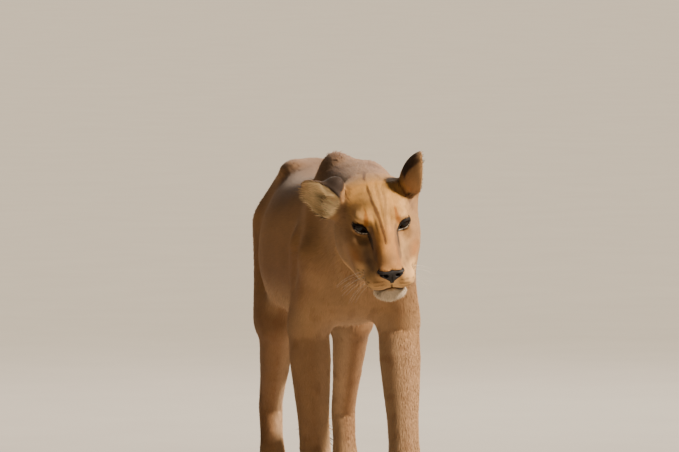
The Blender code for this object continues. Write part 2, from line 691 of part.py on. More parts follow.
def boolean(made, tool, operation):
    cut = made.modifiers.new("cut", "BOOLEAN")
    cut.operation, cut.object, cut.solver = operation, tool, "EXACT"
    return apply_modifiers(made)


def drop(made):
    bpy.data.objects.remove(made)


def islands(mesh):
    """The vertex sets of a mesh's separate bodies."""
    shape = bmesh.new()
    shape.from_mesh(mesh)
    seen, found = set(), []
    for first in shape.verts:
        if first.index in seen:
            continue
        stack, body = [first], []
        seen.add(first.index)
        while stack:
            vertex = stack.pop()
            body.append(vertex.index)
            for edge in vertex.link_edges:
                other = edge.other_vert(vertex)
                if other.index not in seen:
                    seen.add(other.index)
                    stack.append(other)
        found.append(body)
    shape.free()
    return found


# ---------------------------------------------------------------- eyes and nose
def eyeball(side, radius):
    centre = from_head((side * EYE_HALF_SPACING, -EYE_SET_BACK, 0))
    shape = bmesh.new()
    bmesh.ops.create_icosphere(shape, subdivisions=2, radius=radius)
    mesh = bpy.data.meshes.new("eye")
    shape.to_mesh(mesh)
    shape.free()
    made = bpy.data.objects.new("eye", mesh)
    mesh.transform(Matrix.Translation(centre))
    bpy.context.collection.objects.link(made)
    return made


def nose_block(grow):
    """A prism over the bare leather of the nose: wide above, pointed below."""
    outline = [(x + grow * (x > 0), z + math.copysign(grow, z + 0.05)) for x, z in NOSE_OUTLINE]
    outline += [(-x, z) for x, z in reversed(outline) if x > 0]
    shape = bmesh.new()
    ends = (NOSE_BACK - grow, NOSE_FRONT)
    rings = [[shape.verts.new(from_head((x, y, z))) for x, z in outline] for y in ends]
    count = len(outline)
    for k in range(count):
        shape.faces.new((rings[0][k], rings[0][(k + 1) % count], rings[1][(k + 1) % count], rings[1][k]))
    shape.faces.new(rings[0][::-1])
    shape.faces.new(rings[1])
    bmesh.ops.recalc_face_normals(shape, faces=shape.faces)
    mesh = bpy.data.meshes.new("nose block")
    shape.to_mesh(mesh)
    shape.free()
    made = bpy.data.objects.new("nose block", mesh)
    bpy.context.collection.objects.link(made)
    return made


# ---------------------------------------------------------------- naming the pieces
def piece_places():
    """A point near the middle of each piece."""
    places = {
        "head": from_head((0, -0.06, 0.0)),
        "lower_jaw": from_head((0, 0.0, -0.115)),
        "nose": from_head((0, 0.13, -0.057)),
        "neck": Vector((0, -0.54, 0.75)),
        "chest": Vector((0, -0.28, 0.70)),
        "belly": Vector((0, 0.02, 0.66)),
        "hindquarters": Vector((0, 0.40, 0.76)),
        "tail_root": Vector(between(TAIL[2][:3], TAIL[4][:3], 0.3)),
        "tail_end": Vector(TAIL[6][:3]),
        "tail_tuft": Vector(TAIL[8][:3]),
    }
    for side, sign in (("left", 1), ("right", -1)):
        fore, hind = FORELEGS[side], HIND_LEGS[side]
        base, axes = ear_frame(EARS[side])
        places |= {
            f"ear_{side}": from_head(base + axes[:, 1] * 0.05),
            f"upper_arm_{side}": Vector(
                offset(between(fore["shoulder"], fore["elbow"], 0.4), x=sign * 0.04, y=0.05)
            ),
            f"forearm_{side}": Vector(between(fore["elbow"], fore["wrist"], 0.5)),
            f"forepaw_{side}": Vector(fore["knuckle"]),
            f"thigh_{side}": Vector(offset(between(hind["hip"], hind["knee"], 0.4), x=sign * 0.03)),
            f"shank_{side}": Vector(between(hind["knee"], hind["ankle"], 0.4)),
            f"hock_{side}": Vector(between(hind["ankle"], hind["knuckle"], 0.3)),
            f"hind_paw_{side}": Vector(offset(hind["knuckle"], y=-0.02, z=-0.025)),
        }
    return places


def material(name):
    made = bpy.data.materials.get(name)
    if made is None:
        made = bpy.data.materials.new(name)
        made.use_nodes = True
        colour, roughness = MATERIALS[name]
        shader = made.node_tree.nodes["Principled BSDF"]
        shader.inputs["Base Color"].default_value = (*colour, 1)
        shader.inputs["Roughness"].default_value = roughness
    return made


def material_of(name):
    if name.startswith("eye"):
        return material("eye")
    if name == "nose":
        return material("nose_leather")
    if name == "tail_tuft":
        return material("tail_tuft")
    return material("pale_coat" if name in PALE else "coat")


def split_into_pieces(body):
    """Makes a named object of each separate body in the cut mesh."""
    places = piece_places()
    points = np.array([v.co for v in body.data.vertices])
    faces = [tuple(f.vertices) for f in body.data.polygons]
    owner = np.empty(len(points), int)
    bodies = islands(body.data)
    for k, members in enumerate(bodies):
        owner[members] = k
    names = list(places)
    spots = np.array([places[n] for n in names])
    for k, members in enumerate(bodies):
        middle = (points[members].min(axis=0) + points[members].max(axis=0)) / 2
        name = names[int(np.argmin(((spots - middle) ** 2).sum(axis=1)))]
        local = {old: new for new, old in enumerate(members)}
        own = [[local[v] for v in face] for face in faces if owner[face[0]] == k]
        mesh = bpy.data.meshes.new(name)
        mesh.from_pydata(points[members].tolist(), [], own)
        made = bpy.data.objects.new(name, mesh)
        bpy.context.collection.objects.link(made)
        made.data.materials.append(material_of(name))
        smooth(made)
        print(f"piece {made.name}: {len(members)} points")
    drop(body)


def smooth(made):
    """Smooth-shaded, with the edges of the cuts left crisp."""
    made.data.shade_smooth()
    made.data.set_sharp_from_angle(angle=SHARP)


def stand_at_origin():
    """Moves every piece so that the model's box is centred over the origin."""
    corners = np.array([v.co for made in bpy.data.objects for v in made.data.vertices])
    middle = (corners.min(axis=0) + corners.max(axis=0)) / 2
    shift = Matrix.Translation((-middle[0], -middle[1], -corners[:, 2].min()))
    for made in bpy.data.objects:
        made.data.transform(shift)
        made.data.update()
    print("moved by", tuple(round(v, 5) for v in shift.translation))


def main():
    for old in list(bpy.data.objects):
        bpy.data.objects.remove(old)
    body = whole_body()
    floor = floor_block()
    boolean(body, floor, "DIFFERENCE")
    drop(floor)
    for side in (-1, 1):
        socket = eyeball(side, EYE_RADIUS + GAP)
        boolean(body, socket, "DIFFERENCE")
        drop(socket)
    leather = bpy.data.objects.new("nose", body.data.copy())
    bpy.context.collection.objects.link(leather)
    inner, outer = nose_block(0.0), nose_block(GAP)
    boolean(leather, inner, "INTERSECT")
    boolean(body, outer, "DIFFERENCE")
    drop(inner)
    drop(outer)
    leather.data.materials.append(material("nose_leather"))
    smooth(leather)
    for blade in saws():
        boolean(body, apply_modifiers(blade), "DIFFERENCE")
        drop(blade)
    split_into_pieces(body)
    for side, name in ((1, "eye_left"), (-1, "eye_right")):
        ball = eyeball(side, EYE_RADIUS)
        ball.name = name
        ball.data.materials.append(material("eye"))
        smooth(ball)
    stand_at_origin()


if __name__ == "__main__":
    main()
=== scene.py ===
import math

import bmesh
import bpy
import numpy as np
from mathutils import Matrix, Vector
from mathutils.bvhtree import BVHTree


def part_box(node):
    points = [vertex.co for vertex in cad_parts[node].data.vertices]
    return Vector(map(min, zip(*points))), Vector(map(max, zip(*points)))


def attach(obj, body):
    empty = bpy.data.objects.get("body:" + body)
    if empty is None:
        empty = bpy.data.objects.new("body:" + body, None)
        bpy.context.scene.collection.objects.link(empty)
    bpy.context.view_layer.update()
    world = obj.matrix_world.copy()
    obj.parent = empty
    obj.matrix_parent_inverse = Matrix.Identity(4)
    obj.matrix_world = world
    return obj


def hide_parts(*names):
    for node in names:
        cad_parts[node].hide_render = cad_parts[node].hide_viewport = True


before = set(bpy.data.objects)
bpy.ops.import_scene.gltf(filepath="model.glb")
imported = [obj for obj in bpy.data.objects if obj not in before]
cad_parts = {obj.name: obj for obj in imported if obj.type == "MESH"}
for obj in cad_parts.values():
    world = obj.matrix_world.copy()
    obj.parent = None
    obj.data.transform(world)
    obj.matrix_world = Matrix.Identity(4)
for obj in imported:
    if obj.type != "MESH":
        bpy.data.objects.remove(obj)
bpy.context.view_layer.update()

# Everything is built in the same axes as the solids were modelled in, then moved with one shift
# that puts the eyes where the frame has them. Metres, +Z up, she faces -Y, her left is +X.

head = {
    "middle": (0.0, -0.80, 0.76),  # halfway between the eyes
    "pitch": 26,  # nose down, degrees
    "yaw": 1,
    "roll": 7,  # her left side up
}
eyes = {
    "radius": 0.0185,
    "halfSpacing": 0.0550,
    "setBack": 0.013,
    "slant": 22,  # inner corners lower, degrees
    "halfLength": 0.0180,  # of the opening between the lids
    "upperLid": 0.0076,  # height of the opening above and below its axis
    "lowerLid": 0.0052,
    "iris": 0.0122,
    "pupil": 0.0052,
    "bulge": 0.0014,  # of the cornea
    # colours, 0-255: the iris, its own amber painted dark with shade, its rim, the white, painted dark with
    # the lids' shade, and the pupil
    "shadedAmber": (34, 20, 10),
    "rim": (24, 17, 12),
    "white": (30, 20, 16),
    "black": (5, 4, 4),
}

# trunk, neck and skull: y, top z, z of the widest place, bottom z, half width
trunk = (
    (-0.54, 0.780, 0.685, 0.600, 0.070),
    (-0.46, 0.860, 0.675, 0.532, 0.104),
    (-0.35, 0.892, 0.665, 0.492, 0.128),
    (-0.23, 0.884, 0.655, 0.480, 0.148),
    (-0.08, 0.866, 0.645, 0.475, 0.172),
    (0.06, 0.858, 0.635, 0.475, 0.186),
    (0.17, 0.858, 0.640, 0.486, 0.178),
    (0.29, 0.866, 0.670, 0.534, 0.144),
    (0.41, 0.866, 0.695, 0.600, 0.104),
    (0.51, 0.836, 0.705, 0.640, 0.082),
    (0.58, 0.790, 0.720, 0.670, 0.053),
)
neck = (
    (-0.72, 0.862, 0.790, 0.715, 0.078),
    (-0.64, 0.882, 0.785, 0.685, 0.090),
    (-0.54, 0.893, 0.775, 0.640, 0.100),
    (-0.44, 0.900, 0.760, 0.590, 0.110),
    (-0.33, 0.898, 0.740, 0.560, 0.112),
    (-0.20, 0.850, 0.700, 0.600, 0.080),
)
forelegs = {
    1: {  # her left
        "scapula": (0.046, -0.290, 0.845),
        "shoulder": (0.080, -0.470, 0.690),
        "triceps": (0.090, -0.330, 0.670),
        "elbow": (0.104, -0.400, 0.480),
        "wrist": (0.098, -0.530, 0.180),
        "knuckle": (0.095, -0.578, 0.066),
    },
    -1: {
        "scapula": (-0.042, -0.290, 0.880),
        "shoulder": (-0.098, -0.440, 0.665),
        "triceps": (-0.100, -0.310, 0.680),
        "elbow": (-0.109, -0.275, 0.470),
        "wrist": (-0.094, -0.285, 0.170),
        "knuckle": (-0.092, -0.325, 0.066),
    },
}
hindLegs = {
    1: {
        "hip": (0.072, 0.410, 0.715),
        "ischium": (0.050, 0.540, 0.735),
        "knee": (0.088, 0.285, 0.450),
        "ankle": (0.086, 0.430, 0.210),
        "heel": (0.086, 0.462, 0.250),
        "knuckle": (0.086, 0.390, 0.064),
    },
    -1: {
        "hip": (-0.072, 0.425, 0.715),
        "ischium": (-0.050, 0.545, 0.735),
        "knee": (-0.092, 0.370, 0.440),
        "ankle": (-0.086, 0.578, 0.215),
        "heel": (-0.086, 0.612, 0.254),
        "knuckle": (-0.084, 0.550, 0.064),
    },
}
# ears in the head's own axes: base, length, lean outwards, turn of the opening, tilt of the tip,
# and the muscle behind the cup: centre across, along and out, radius
ears = {
    1: {
        "base": (0.095, -0.122, 0.037), "length": 0.106, "lean": 31, "turn": 88, "facingUp": 0.12, "tip": 6,
        "muscle": ((0.010, -0.044, -0.010), 0.028),
    },
    -1: {
        "base": (0.090, -0.100, 0.006), "length": 0.135, "lean": 60, "turn": 12, "facingUp": -0.35, "tip": -8,
        "muscle": ((-0.036, -0.018, -0.026), 0.025),
    },
    "halfWidth": 0.045,
    "depth": 0.036,
    "halfThickness": 0.0042,
}
# from its root: x, y, z and radius
tail = (
    (0.000, 0.560, 0.800, 0.044),
    (0.004, 0.635, 0.775, 0.034),
    (0.014, 0.688, 0.690, 0.027),
    (0.030, 0.705, 0.570, 0.022),
    (0.048, 0.700, 0.440, 0.0195),
    (0.060, 0.700, 0.320, 0.0185),
    (0.066, 0.722, 0.225, 0.0180),
    (0.070, 0.762, 0.160, 0.0220),
    (0.074, 0.815, 0.130, 0.0310),
    (0.077, 0.868, 0.128, 0.0200),
    (0.079, 0.905, 0.136, 0.0070),
)
# in the head's own axes, from nape to nose
skull = (
    (-0.200, 0.036, -0.015, -0.090, 0.082),
    (-0.160, 0.052, -0.012, -0.112, 0.099),
    (-0.115, 0.060, -0.024, -0.126, 0.106),
    (-0.070, 0.058, -0.034, -0.126, 0.101),
    (-0.035, 0.049, -0.040, -0.120, 0.091),
    (0.000, 0.026, -0.054, -0.112, 0.077),
    (0.030, -0.006, -0.066, -0.108, 0.064),
    (0.060, -0.026, -0.074, -0.105, 0.059),
    (0.090, -0.040, -0.083, -0.106, 0.055),
    (0.114, -0.050, -0.086, -0.106, 0.045),
    (0.129, -0.060, -0.083, -0.102, 0.028),
)
nose = {  # the bare leather: half its outline, x and z in the head's axes
    "outline": (
        (0.0, -0.0505), (0.012, -0.0520), (0.024, -0.0518), (0.0325, -0.0535), (0.0345, -0.0568),
        (0.0295, -0.0620), (0.016, -0.0700), (0.0060, -0.0775), (0.0035, -0.0850),
    ),
    "back": 0.104,
    "proud": 0.0004,  # above the skin round it
    "cell": 0.0010,
    "low": (-0.046, 0.096, -0.092),
    "high": (0.046, 0.152, -0.040),
    # hollows on each side: place, radii, depth and softness of the nostril and of the slit beside it
    "hollows": (
        ((0.0150, 0.1410, -0.0610), (0.0062, 0.010, 0.0042), 0.0050, 0.0018),
        ((0.0255, 0.1330, -0.0590), (0.0085, 0.010, 0.0016), 0.0020, 0.0012),
    ),
}
leatherOutline = nose["outline"] + tuple((-x, z) for x, z in reversed(nose["outline"]) if x)
headCentre = (0, -0.03, -0.03)  # in the head's axes
toeRanks = (-1.5, -0.5, 0.5, 1.5)  # places of the toes across a paw
soleLevel = 0.0012  # the floor, before everything is shifted


def ramp(start, end, x):  # 0 at start, 1 at end, smooth between; start may be the larger
    t = np.clip((x - start) / (end - start), 0, 1)
    return t * t * (3 - 2 * t)


def bump(x, middle, width):
    return np.exp(-(((x - middle) / width) ** 2))


def smoothMin(a, b, soft):
    h = np.clip(0.5 + 0.5 * (b - a) / soft, 0, 1)
    return b + (a - b) * h - soft * h * (1 - h)


def smoothMax(a, b, soft):
    return -smoothMin(-a, -b, soft)


def between(a, b, share):
    return tuple(p + (q - p) * share for p, q in zip(a, b))


def offset(a, x=0.0, y=0.0, z=0.0):
    return (a[0] + x, a[1] + y, a[2] + z)


def unit(vectors):
    return vectors / np.maximum(np.linalg.norm(vectors, axis=-1, keepdims=True), 1e-9)


def smoothCurve(x, knots, values):  # Catmull-Rom
    slopes = np.gradient(values, knots)
    k = np.clip(np.searchsorted(knots, x, side="right") - 1, 0, len(knots) - 2)
    width = knots[k + 1] - knots[k]
    t = (x - knots[k]) / width
    return (
        values[k] * (2 * t**3 - 3 * t**2 + 1)
        + slopes[k] * width * (t**3 - 2 * t**2 + t)
        + values[k + 1] * (3 * t**2 - 2 * t**3)
        + slopes[k + 1] * width * (t**3 - t**2)
    )


def cloud(points, size, seed):  # soft lattice noise between -1 and 1; size is that of its lumps
    p = points / size + seed * 17.31
    base = np.floor(p).astype(np.int64)
    t = p - base
    t = t * t * (3 - 2 * t)
    total = np.zeros(len(points))
    for corner in np.ndindex(2, 2, 2):
        q = base + corner
        key = (q[:, 0] * 73856093) ^ (q[:, 1] * 19349663) ^ (q[:, 2] * 83492791) ^ (seed * 2654435761)
        key = (key ^ (key >> 13)) * 1274126177 & 0xFFFFFFFF
        value = ((key ^ (key >> 16)) & 0xFFFF) / 32767.5 - 1
        total += value * np.prod(np.where(corner, t, 1 - t), axis=1)
    return total


def outlineDistance(u, v, outline):  # to a closed outline, below 0 inside
    best, inside = np.full(len(u), 9.0), np.zeros(len(u), bool)
    for (x0, z0), (x1, z1) in zip(outline, outline[1:] + outline[:1]):
        dx, dz = x1 - x0, z1 - z0
        t = np.clip(((u - x0) * dx + (v - z0) * dz) / (dx * dx + dz * dz), 0, 1)
        best = np.minimum(best, np.hypot(u - x0 - t * dx, v - z0 - t * dz))
        crosses = (z0 > v) != (z1 > v)
        slope = np.where(crosses, (x1 - x0) * (v - z0) / (z1 - z0 if z1 != z0 else 1) + x0, 0)
        inside ^= crosses & (u < slope)
    return np.where(inside, -best, best)


def layers(table, first, count):  # rows of values, and what lays another row of the table over them
    values = np.tile(table[first], (count, 1))

    def lay(name, amount):
        share = np.clip(amount, 0, 1)[:, None]
        values[:] = values * (1 - share) + np.array(table[name]) * share

    return values, lay


def eggDistance(p, radii):  # to an ellipsoid, from its centre
    scaled = np.linalg.norm(p / radii, axis=1)
    steep = np.linalg.norm(p / radii**2, axis=1)
    return scaled * (scaled - 1) / np.maximum(steep, 1e-9)


class Clay:  # distance to a body of soft masses at many points, below 0 inside
    reach = 0.05

    def __init__(self, points):
        self.points = points
        self.distance = np.full(len(points), 1.0)

    def near(self, low, high, soft):
        room = self.reach + soft
        inside = np.all((self.points > low - room) & (self.points < high + room), axis=1)
        return np.flatnonzero(inside)

    def merge(self, chosen, distance, soft):
        self.distance[chosen] = smoothMin(self.distance[chosen], distance, soft)

    def limb(self, a, b, radiusA, radiusB, soft=0.02, wide=1.0):  # tapered bar, wide stretches it in X
        a, b = np.array(a, float), np.array(b, float)
        most = max(radiusA, radiusB) * max(wide, 1.0)
        chosen = self.near(np.minimum(a, b) - most, np.maximum(a, b) + most, soft)
        stretch = np.array((wide, 1.0, 1.0))
        p, q, s = self.points[chosen] / stretch, a / stretch, (b - a) / stretch
        t = np.clip((p - q) @ s / (s @ s), 0, 1)
        away = np.linalg.norm(p - q - t[:, None] * s, axis=1)
        self.merge(chosen, away - radiusA - t * (radiusB - radiusA), soft)

    def chain(self, stations, soft=0.02, wide=1.0):
        for a, b in zip(stations[:-1], stations[1:]):
            self.limb(a[:3], b[:3], a[3], b[3], soft, wide)

    def ballDistance(self, centre, radii, soft, turn):
        centre, radii = np.array(centre, float), np.array(radii, float)
        chosen = self.near(centre - radii.max(), centre + radii.max(), soft)
        p = self.points[chosen] - centre
        if turn is not None:
            p = p @ turn
        return chosen, eggDistance(p, radii)

    def ball(self, centre, radii, soft=0.02, turn=None):
        chosen, distance = self.ballDistance(centre, radii, soft, turn)
        self.merge(chosen, distance, soft)

    def hollow(self, centre, radii, soft=0.01, turn=None):
        chosen, distance = self.ballDistance(centre, radii, soft, turn)
        self.distance[chosen] = -smoothMin(-self.distance[chosen], distance, soft)

    def loft(self, stations, soft=0.03, power=2.25):  # egg-sectioned tube along Y
        table = np.array(stations)
        low = np.array((-table[:, 4].max(), table[0, 0], table[:, 3].min()))
        high = np.array((table[:, 4].max(), table[-1, 0], table[:, 1].max()))
        chosen = self.near(low, high, soft)
        x, y, z = self.points[chosen].T
        along = np.clip(y, table[0, 0], table[-1, 0])
        top, widest, bottom, half = (smoothCurve(along, table[:, 0], table[:, k]) for k in (1, 2, 3, 4))
        tall = np.where(z > widest, top - widest, widest - bottom)
        u, v = np.abs(x) / half + 1e-6, np.abs(z - widest) / tall + 1e-6
        size = (u**power + v**power) ** (1 / power)
        slope = np.hypot((u / size) ** (power - 1) / half, (v / size) ** (power - 1) / tall)
        section = (size - 1) / slope
        beyond = np.abs(y - along)
        self.merge(chosen, np.where(beyond > 0, np.hypot(np.maximum(section, 0), beyond), section), soft)


# frames of the head and the ears
def headAxes():  # columns: her left, forwards along the muzzle, up through the crown
    roll = Matrix.Rotation(-math.radians(head["roll"]), 3, "Y")
    pitch = Matrix.Rotation(math.radians(head["pitch"]), 3, "X")
    yaw = Matrix.Rotation(math.radians(head["yaw"]), 3, "Z")
    return np.array(yaw @ pitch @ roll @ Matrix(((1, 0, 0), (0, -1, 0), (0, 0, 1))))


headTurn = headAxes()
headMiddle = np.array(head["middle"])


def toHead(points):
    return (points - headMiddle) @ headTurn


def fromHead(points):
    return np.asarray(points, float) @ headTurn.T + headMiddle


def headAway(local):
    return np.linalg.norm(local - headCentre, axis=1)


def eyeCentre(side):  # in the head's axes
    return (side * eyes["halfSpacing"], -eyes["setBack"], 0)


def earFrame(side):  # base, and columns: across, to the tip, out of the opening, in the head's axes
    ear = ears[side]
    lean, turn, tip = (math.radians(ear[k]) for k in ("lean", "turn", "tip"))
    toTip = Vector((side * math.sin(lean), math.sin(tip), math.cos(lean))).normalized()
    facing = Vector((side * math.sin(turn), math.cos(turn), ear["facingUp"]))
    out = (facing - facing.dot(toTip) * toTip).normalized()
    base = ear["base"]
    return np.array((side * base[0], base[1], base[2])), np.array((toTip.cross(out), toTip, out)).T


def slanted(side):
    return np.array(Matrix.Rotation(-side * math.radians(eyes["slant"]), 3, "Y"))


def lidPlace(points, side):  # along the slit from nose to temple, across it, forwards; from the eye's centre
    p = (points - eyeCentre(side)) @ slanted(side)
    return p[:, 0] * side, p[:, 2], p[:, 1]


def slitDistance(points, side):  # to the outline of the opening between the lids, below 0 inside
    u, v, w = lidPlace(points, side)
    arch = np.clip(1 - ((u - 0.001) / eyes["halfLength"]) ** 2, -1, 1)
    centre = 0.0008 + 0.05 * u
    edge = np.maximum(v - centre - eyes["upperLid"] * arch, centre - eyes["lowerLid"] * arch - v)
    return edge, u, v, w


def lipHeight(x, y):  # z of the line between the lips, in the head's axes
    side = np.abs(x)
    return -0.1075 - 0.0095 * bump(side, 0.030, 0.017) - 0.020 * ramp(0.09, 0.02, y) * ramp(0.02, 0.06, side)


def headDistance(points):
    clay = Clay(points)
    clay.loft(skull, 0.01, 2.1)
    clay.limb((0, -0.040, 0.020), (0, 0.030, -0.006), 0.030, 0.0215, 0.022, wide=1.25)  # stop
    clay.limb((0, 0.020, -0.004), (0, 0.118, -0.063), 0.0215, 0.0185, 0.018, wide=1.4)  # bridge of the nose
    clay.limb((0, 0.082, -0.126), (0, -0.05, -0.106), 0.025, 0.040, 0.02, wide=1.1)  # floor of the mouth
    clay.ball((0, 0.088, -0.130), (0.040, 0.030, 0.024), 0.018)  # chin
    for side in (-1, 1):
        clay.ball((side * 0.041, -0.018, 0.024), (0.028, 0.024, 0.013), 0.018)  # brow
        clay.ball((side * 0.067, -0.016, -0.038), (0.024, 0.040, 0.022), 0.035)  # cheekbone
        clay.ball((side * 0.058, 0.004, -0.076), (0.024, 0.046, 0.034), 0.035)  # cheek
        clay.ball((side * 0.062 - 0.003, -0.080, -0.080), (0.045, 0.068, 0.056), 0.03)  # jaw muscle
        clay.ball((side * 0.074, -0.120, 0.018), (0.036, 0.046, 0.034), 0.03)  # root of the ear
        clay.ball((side * 0.032, 0.098, -0.090), (0.033, 0.036, 0.0255), 0.012)  # whisker pad
        clay.limb((side * 0.050, 0.045, -0.110), (side * 0.054, -0.050, -0.108), 0.018, 0.034, 0.03)
        clay.ball((side * 0.015, 0.125, -0.063), (0.022, 0.016, 0.0165), 0.010)  # wing of the nose
    clay.ball((0, 0.125, -0.074), (0.014, 0.015, 0.018), 0.010)  # middle of the nose
    for side in (-1, 1):
        clay.hollow((side * 0.057, 0.024, -0.003), (0.025, 0.017, 0.016), 0.014, slanted(side))  # eye hollow
        clay.ball(eyeCentre(side), (eyes["radius"] + 0.003,) * 3, 0.008)
    return clay.distance


def earBowl(points, side):  # from the middle of the cup, and the distance to the middle of its wall
    base, axes = earFrame(side)
    length = ears[side]["length"]
    p = (points - base) @ axes - (0, length * 0.44, -0.004)
    p[:, 0] /= np.clip(1.0 - 3.6 * p[:, 1], 0.75, 1.1)
    return p, eggDistance(p, np.array((ears["halfWidth"], length * 0.58, ears["depth"])))


def earDistance(points, side):
    base, axes = earFrame(side)
    across, along, out = ((points - base) @ axes).T
    distance = np.full(len(points), 1.0)
    chosen = np.flatnonzero((np.abs(across) < 0.12) & (np.abs(along - 0.05) < 0.14) & (np.abs(out) < 0.11))
    p, wall = earBowl(points[chosen], side)
    opening = p[:, 2] - 0.020 + 0.42 * (p[:, 1] + ears[side]["length"] * 0.40)
    cup = -smoothMin(ears["halfThickness"] - np.abs(wall), -opening, 0.004)
    root = np.linalg.norm((p - (0, -0.052, -0.002)) / (0.95, 1.1, 0.95), axis=1) - 0.032
    centre, radius = ears[side]["muscle"]
    muscle = np.linalg.norm(p - centre, axis=1) - radius
    distance[chosen] = smoothMin(smoothMin(cup, root, 0.014), muscle, 0.014)
    return distance


def shapeFace(local, distance):  # what the skin adds to the head: lids, lips, furrows
    x, y, z = local.T
    side = np.abs(x)
    crown = ramp(0.03, 0.0, y) * ramp(-0.13, -0.09, y) * (z > -0.02)
    distance = distance + 0.0016 * bump(x, 0.0, 0.0045) * crown  # furrow between the brows
    distance += 0.0012 * bump(side, 0.019 + 0.12 * (z - 0.01), 0.0035) * bump(z, 0.022, 0.016) * (y > -0.06)
    distance += 0.0020 * bump(x, 0.0, 0.0018) * bump(z, -0.099, 0.011) * (y > 0.10)  # philtrum
    under = ramp(0.0, -0.005, outlineDistance(x, z, leatherOutline))
    under *= ramp(0.005, -0.005, leatherBack(side) - y)
    distance += 0.0120 * under  # the skin sinks under the leather
    lip = z - lipHeight(x, y)
    front = ramp(-0.01, 0.03, y)
    distance += front * (0.0070 * bump(lip, -0.0015, 0.0026) - 0.0014 * bump(lip, 0.0050, 0.0035))
    distance += 0.0012 * bump(z, -0.045 - 0.35 * (side - 0.03), 0.0045) * bump(side, 0.040, 0.014) * (y > 0.0)
    for s in (-1, 1):
        near = np.flatnonzero(np.linalg.norm(local - (s * eyes["halfSpacing"], 0, 0), axis=1) < 0.040)
        edge, u, v, w = slitDistance(local[near], s)
        d = distance[near]
        d = d - 0.0016 * bump(edge, 0.0022, 0.0022) * (w > 0)  # thick rims of the lids
        d = d + 0.0016 * bump(v, 0.0145, 0.0022) * bump(u, 0, 0.020) * (w > 0)  # crease above the upper lid
        d = d + 0.0014 * bump(v, -0.0145, 0.0026) * bump(u, 0.002, 0.018) * (w > 0)
        d = smoothMax(d, -np.maximum(edge, 0.001 - w), 0.0012)  # the opening
        corner = np.linalg.norm(np.stack((u + 0.0205, v + 0.0022, (w - 0.012) * 0.4)), axis=0) - 0.0022
        distance[near] = smoothMax(d, -corner, 0.0020)
    return distance


def paw(clay, knuckle, size):
    x, y, _ = knuckle
    clay.limb((x, y, 0.066), (x, y - 0.046 * size, 0.046), 0.040 * size, 0.031 * size, 0.010, wide=1.12)
    clay.ball((x, y + 0.004 * size, 0.022), (0.038 * size, 0.040 * size, 0.030), 0.012)
    clay.ball((x, y - 0.045 * size, 0.012), (0.044 * size, 0.042 * size, 0.018), 0.010)
    for rank in toeRanks:
        spread, back = rank * 0.0250 * size, 0.008 * (abs(rank) - 0.5)
        clay.limb(
            (x + spread * 0.86, y - 0.040 * size + back, 0.043),
            (x + spread * 1.04, y - 0.082 * size + back, 0.0215),
            0.0205 * size, 0.0190 * size, 0.0075,
        )


def foreleg(clay, joints, side):
    scapula, shoulder, elbow = joints["scapula"], joints["shoulder"], joints["elbow"]
    wrist, knuckle = joints["wrist"], joints["knuckle"]
    clay.limb(scapula, shoulder, 0.036, 0.056, 0.01)
    clay.ball(scapula, (0.030, 0.080, 0.044), 0.03)  # crest of the shoulder blade
    clay.limb(joints["triceps"], offset(elbow, y=0.012, z=0.03), 0.066, 0.045, 0.04)
    clay.limb(shoulder, elbow, 0.056, 0.054, 0.04)
    clay.ball(offset(elbow, y=0.040, z=0.015), (0.024, 0.026, 0.034), 0.02)  # point of the elbow
    girth = ((0.0, 0.054), (0.25, 0.0545), (0.50, 0.0485), (0.75, 0.0420), (1.0, 0.0405))
    clay.chain([(*between(elbow, wrist, share), radius) for share, radius in girth], 0.001)
    girth = ((0.0, 0.0405), (0.5, 0.038), (1.0, 0.040))
    clay.chain([(*between(wrist, knuckle, share), radius) for share, radius in girth], 0.001, wide=1.06)
    clay.ball(offset(wrist, y=0.032, z=-0.012), (0.014, 0.013, 0.016), 0.014)  # wrist pad
    clay.ball(offset(wrist, x=-side * 0.034, y=-0.006, z=-0.060), (0.012, 0.014, 0.020), 0.012)  # dewclaw
    paw(clay, knuckle, 1.0)


def hindLeg(clay, joints, side):
    hip, knee, ankle = joints["hip"], joints["knee"], joints["ankle"]
    heel, knuckle = joints["heel"], joints["knuckle"]
    clay.limb(hip, knee, 0.076, 0.053, 0.01)
    clay.limb(offset(hip, y=-0.080, z=-0.01), offset(knee, y=0.004, z=0.035), 0.064, 0.052, 0.04)
    clay.limb(joints["ischium"], offset(knee, y=0.085, z=0.01), 0.064, 0.042, 0.05)
    clay.limb(offset(hip, y=0.03, z=-0.02), offset(knee, y=0.06, z=0.02), 0.072, 0.050, 0.05)
    girth = ((0.0, 0.050), (0.35, 0.043), (0.7, 0.034), (1.0, 0.0325))
    clay.chain([(*between(knee, ankle, share), radius) for share, radius in girth], 0.001)
    calf = offset(knee, y=0.050, z=-0.01)
    clay.limb(calf, between(calf, heel, 0.50), 0.044, 0.028, 0.03)
    clay.limb(between(calf, heel, 0.40), heel, 0.026, 0.0175, 0.03)
    clay.limb(between(knee, ankle, 0.55), between(ankle, heel, 0.5), 0.030, 0.024, 0.02)
    clay.ball(heel, (0.019, 0.020, 0.022), 0.012)
    girth = ((0.0, 0.0325), (0.5, 0.030), (1.0, 0.036))
    clay.chain([(*between(ankle, knuckle, share), radius) for share, radius in girth], 0.001, wide=1.05)
    clay.limb(heel, offset(knuckle, y=0.022, z=0.02), 0.019, 0.022, 0.02)
    paw(clay, knuckle, 0.90)
    fold = (side * 0.105, min(knee[1], 0.31) - 0.11, 0.560)
    clay.limb(offset(knee, y=-0.012, z=0.075), fold, 0.034, 0.046, 0.04)  # fold of skin at the flank


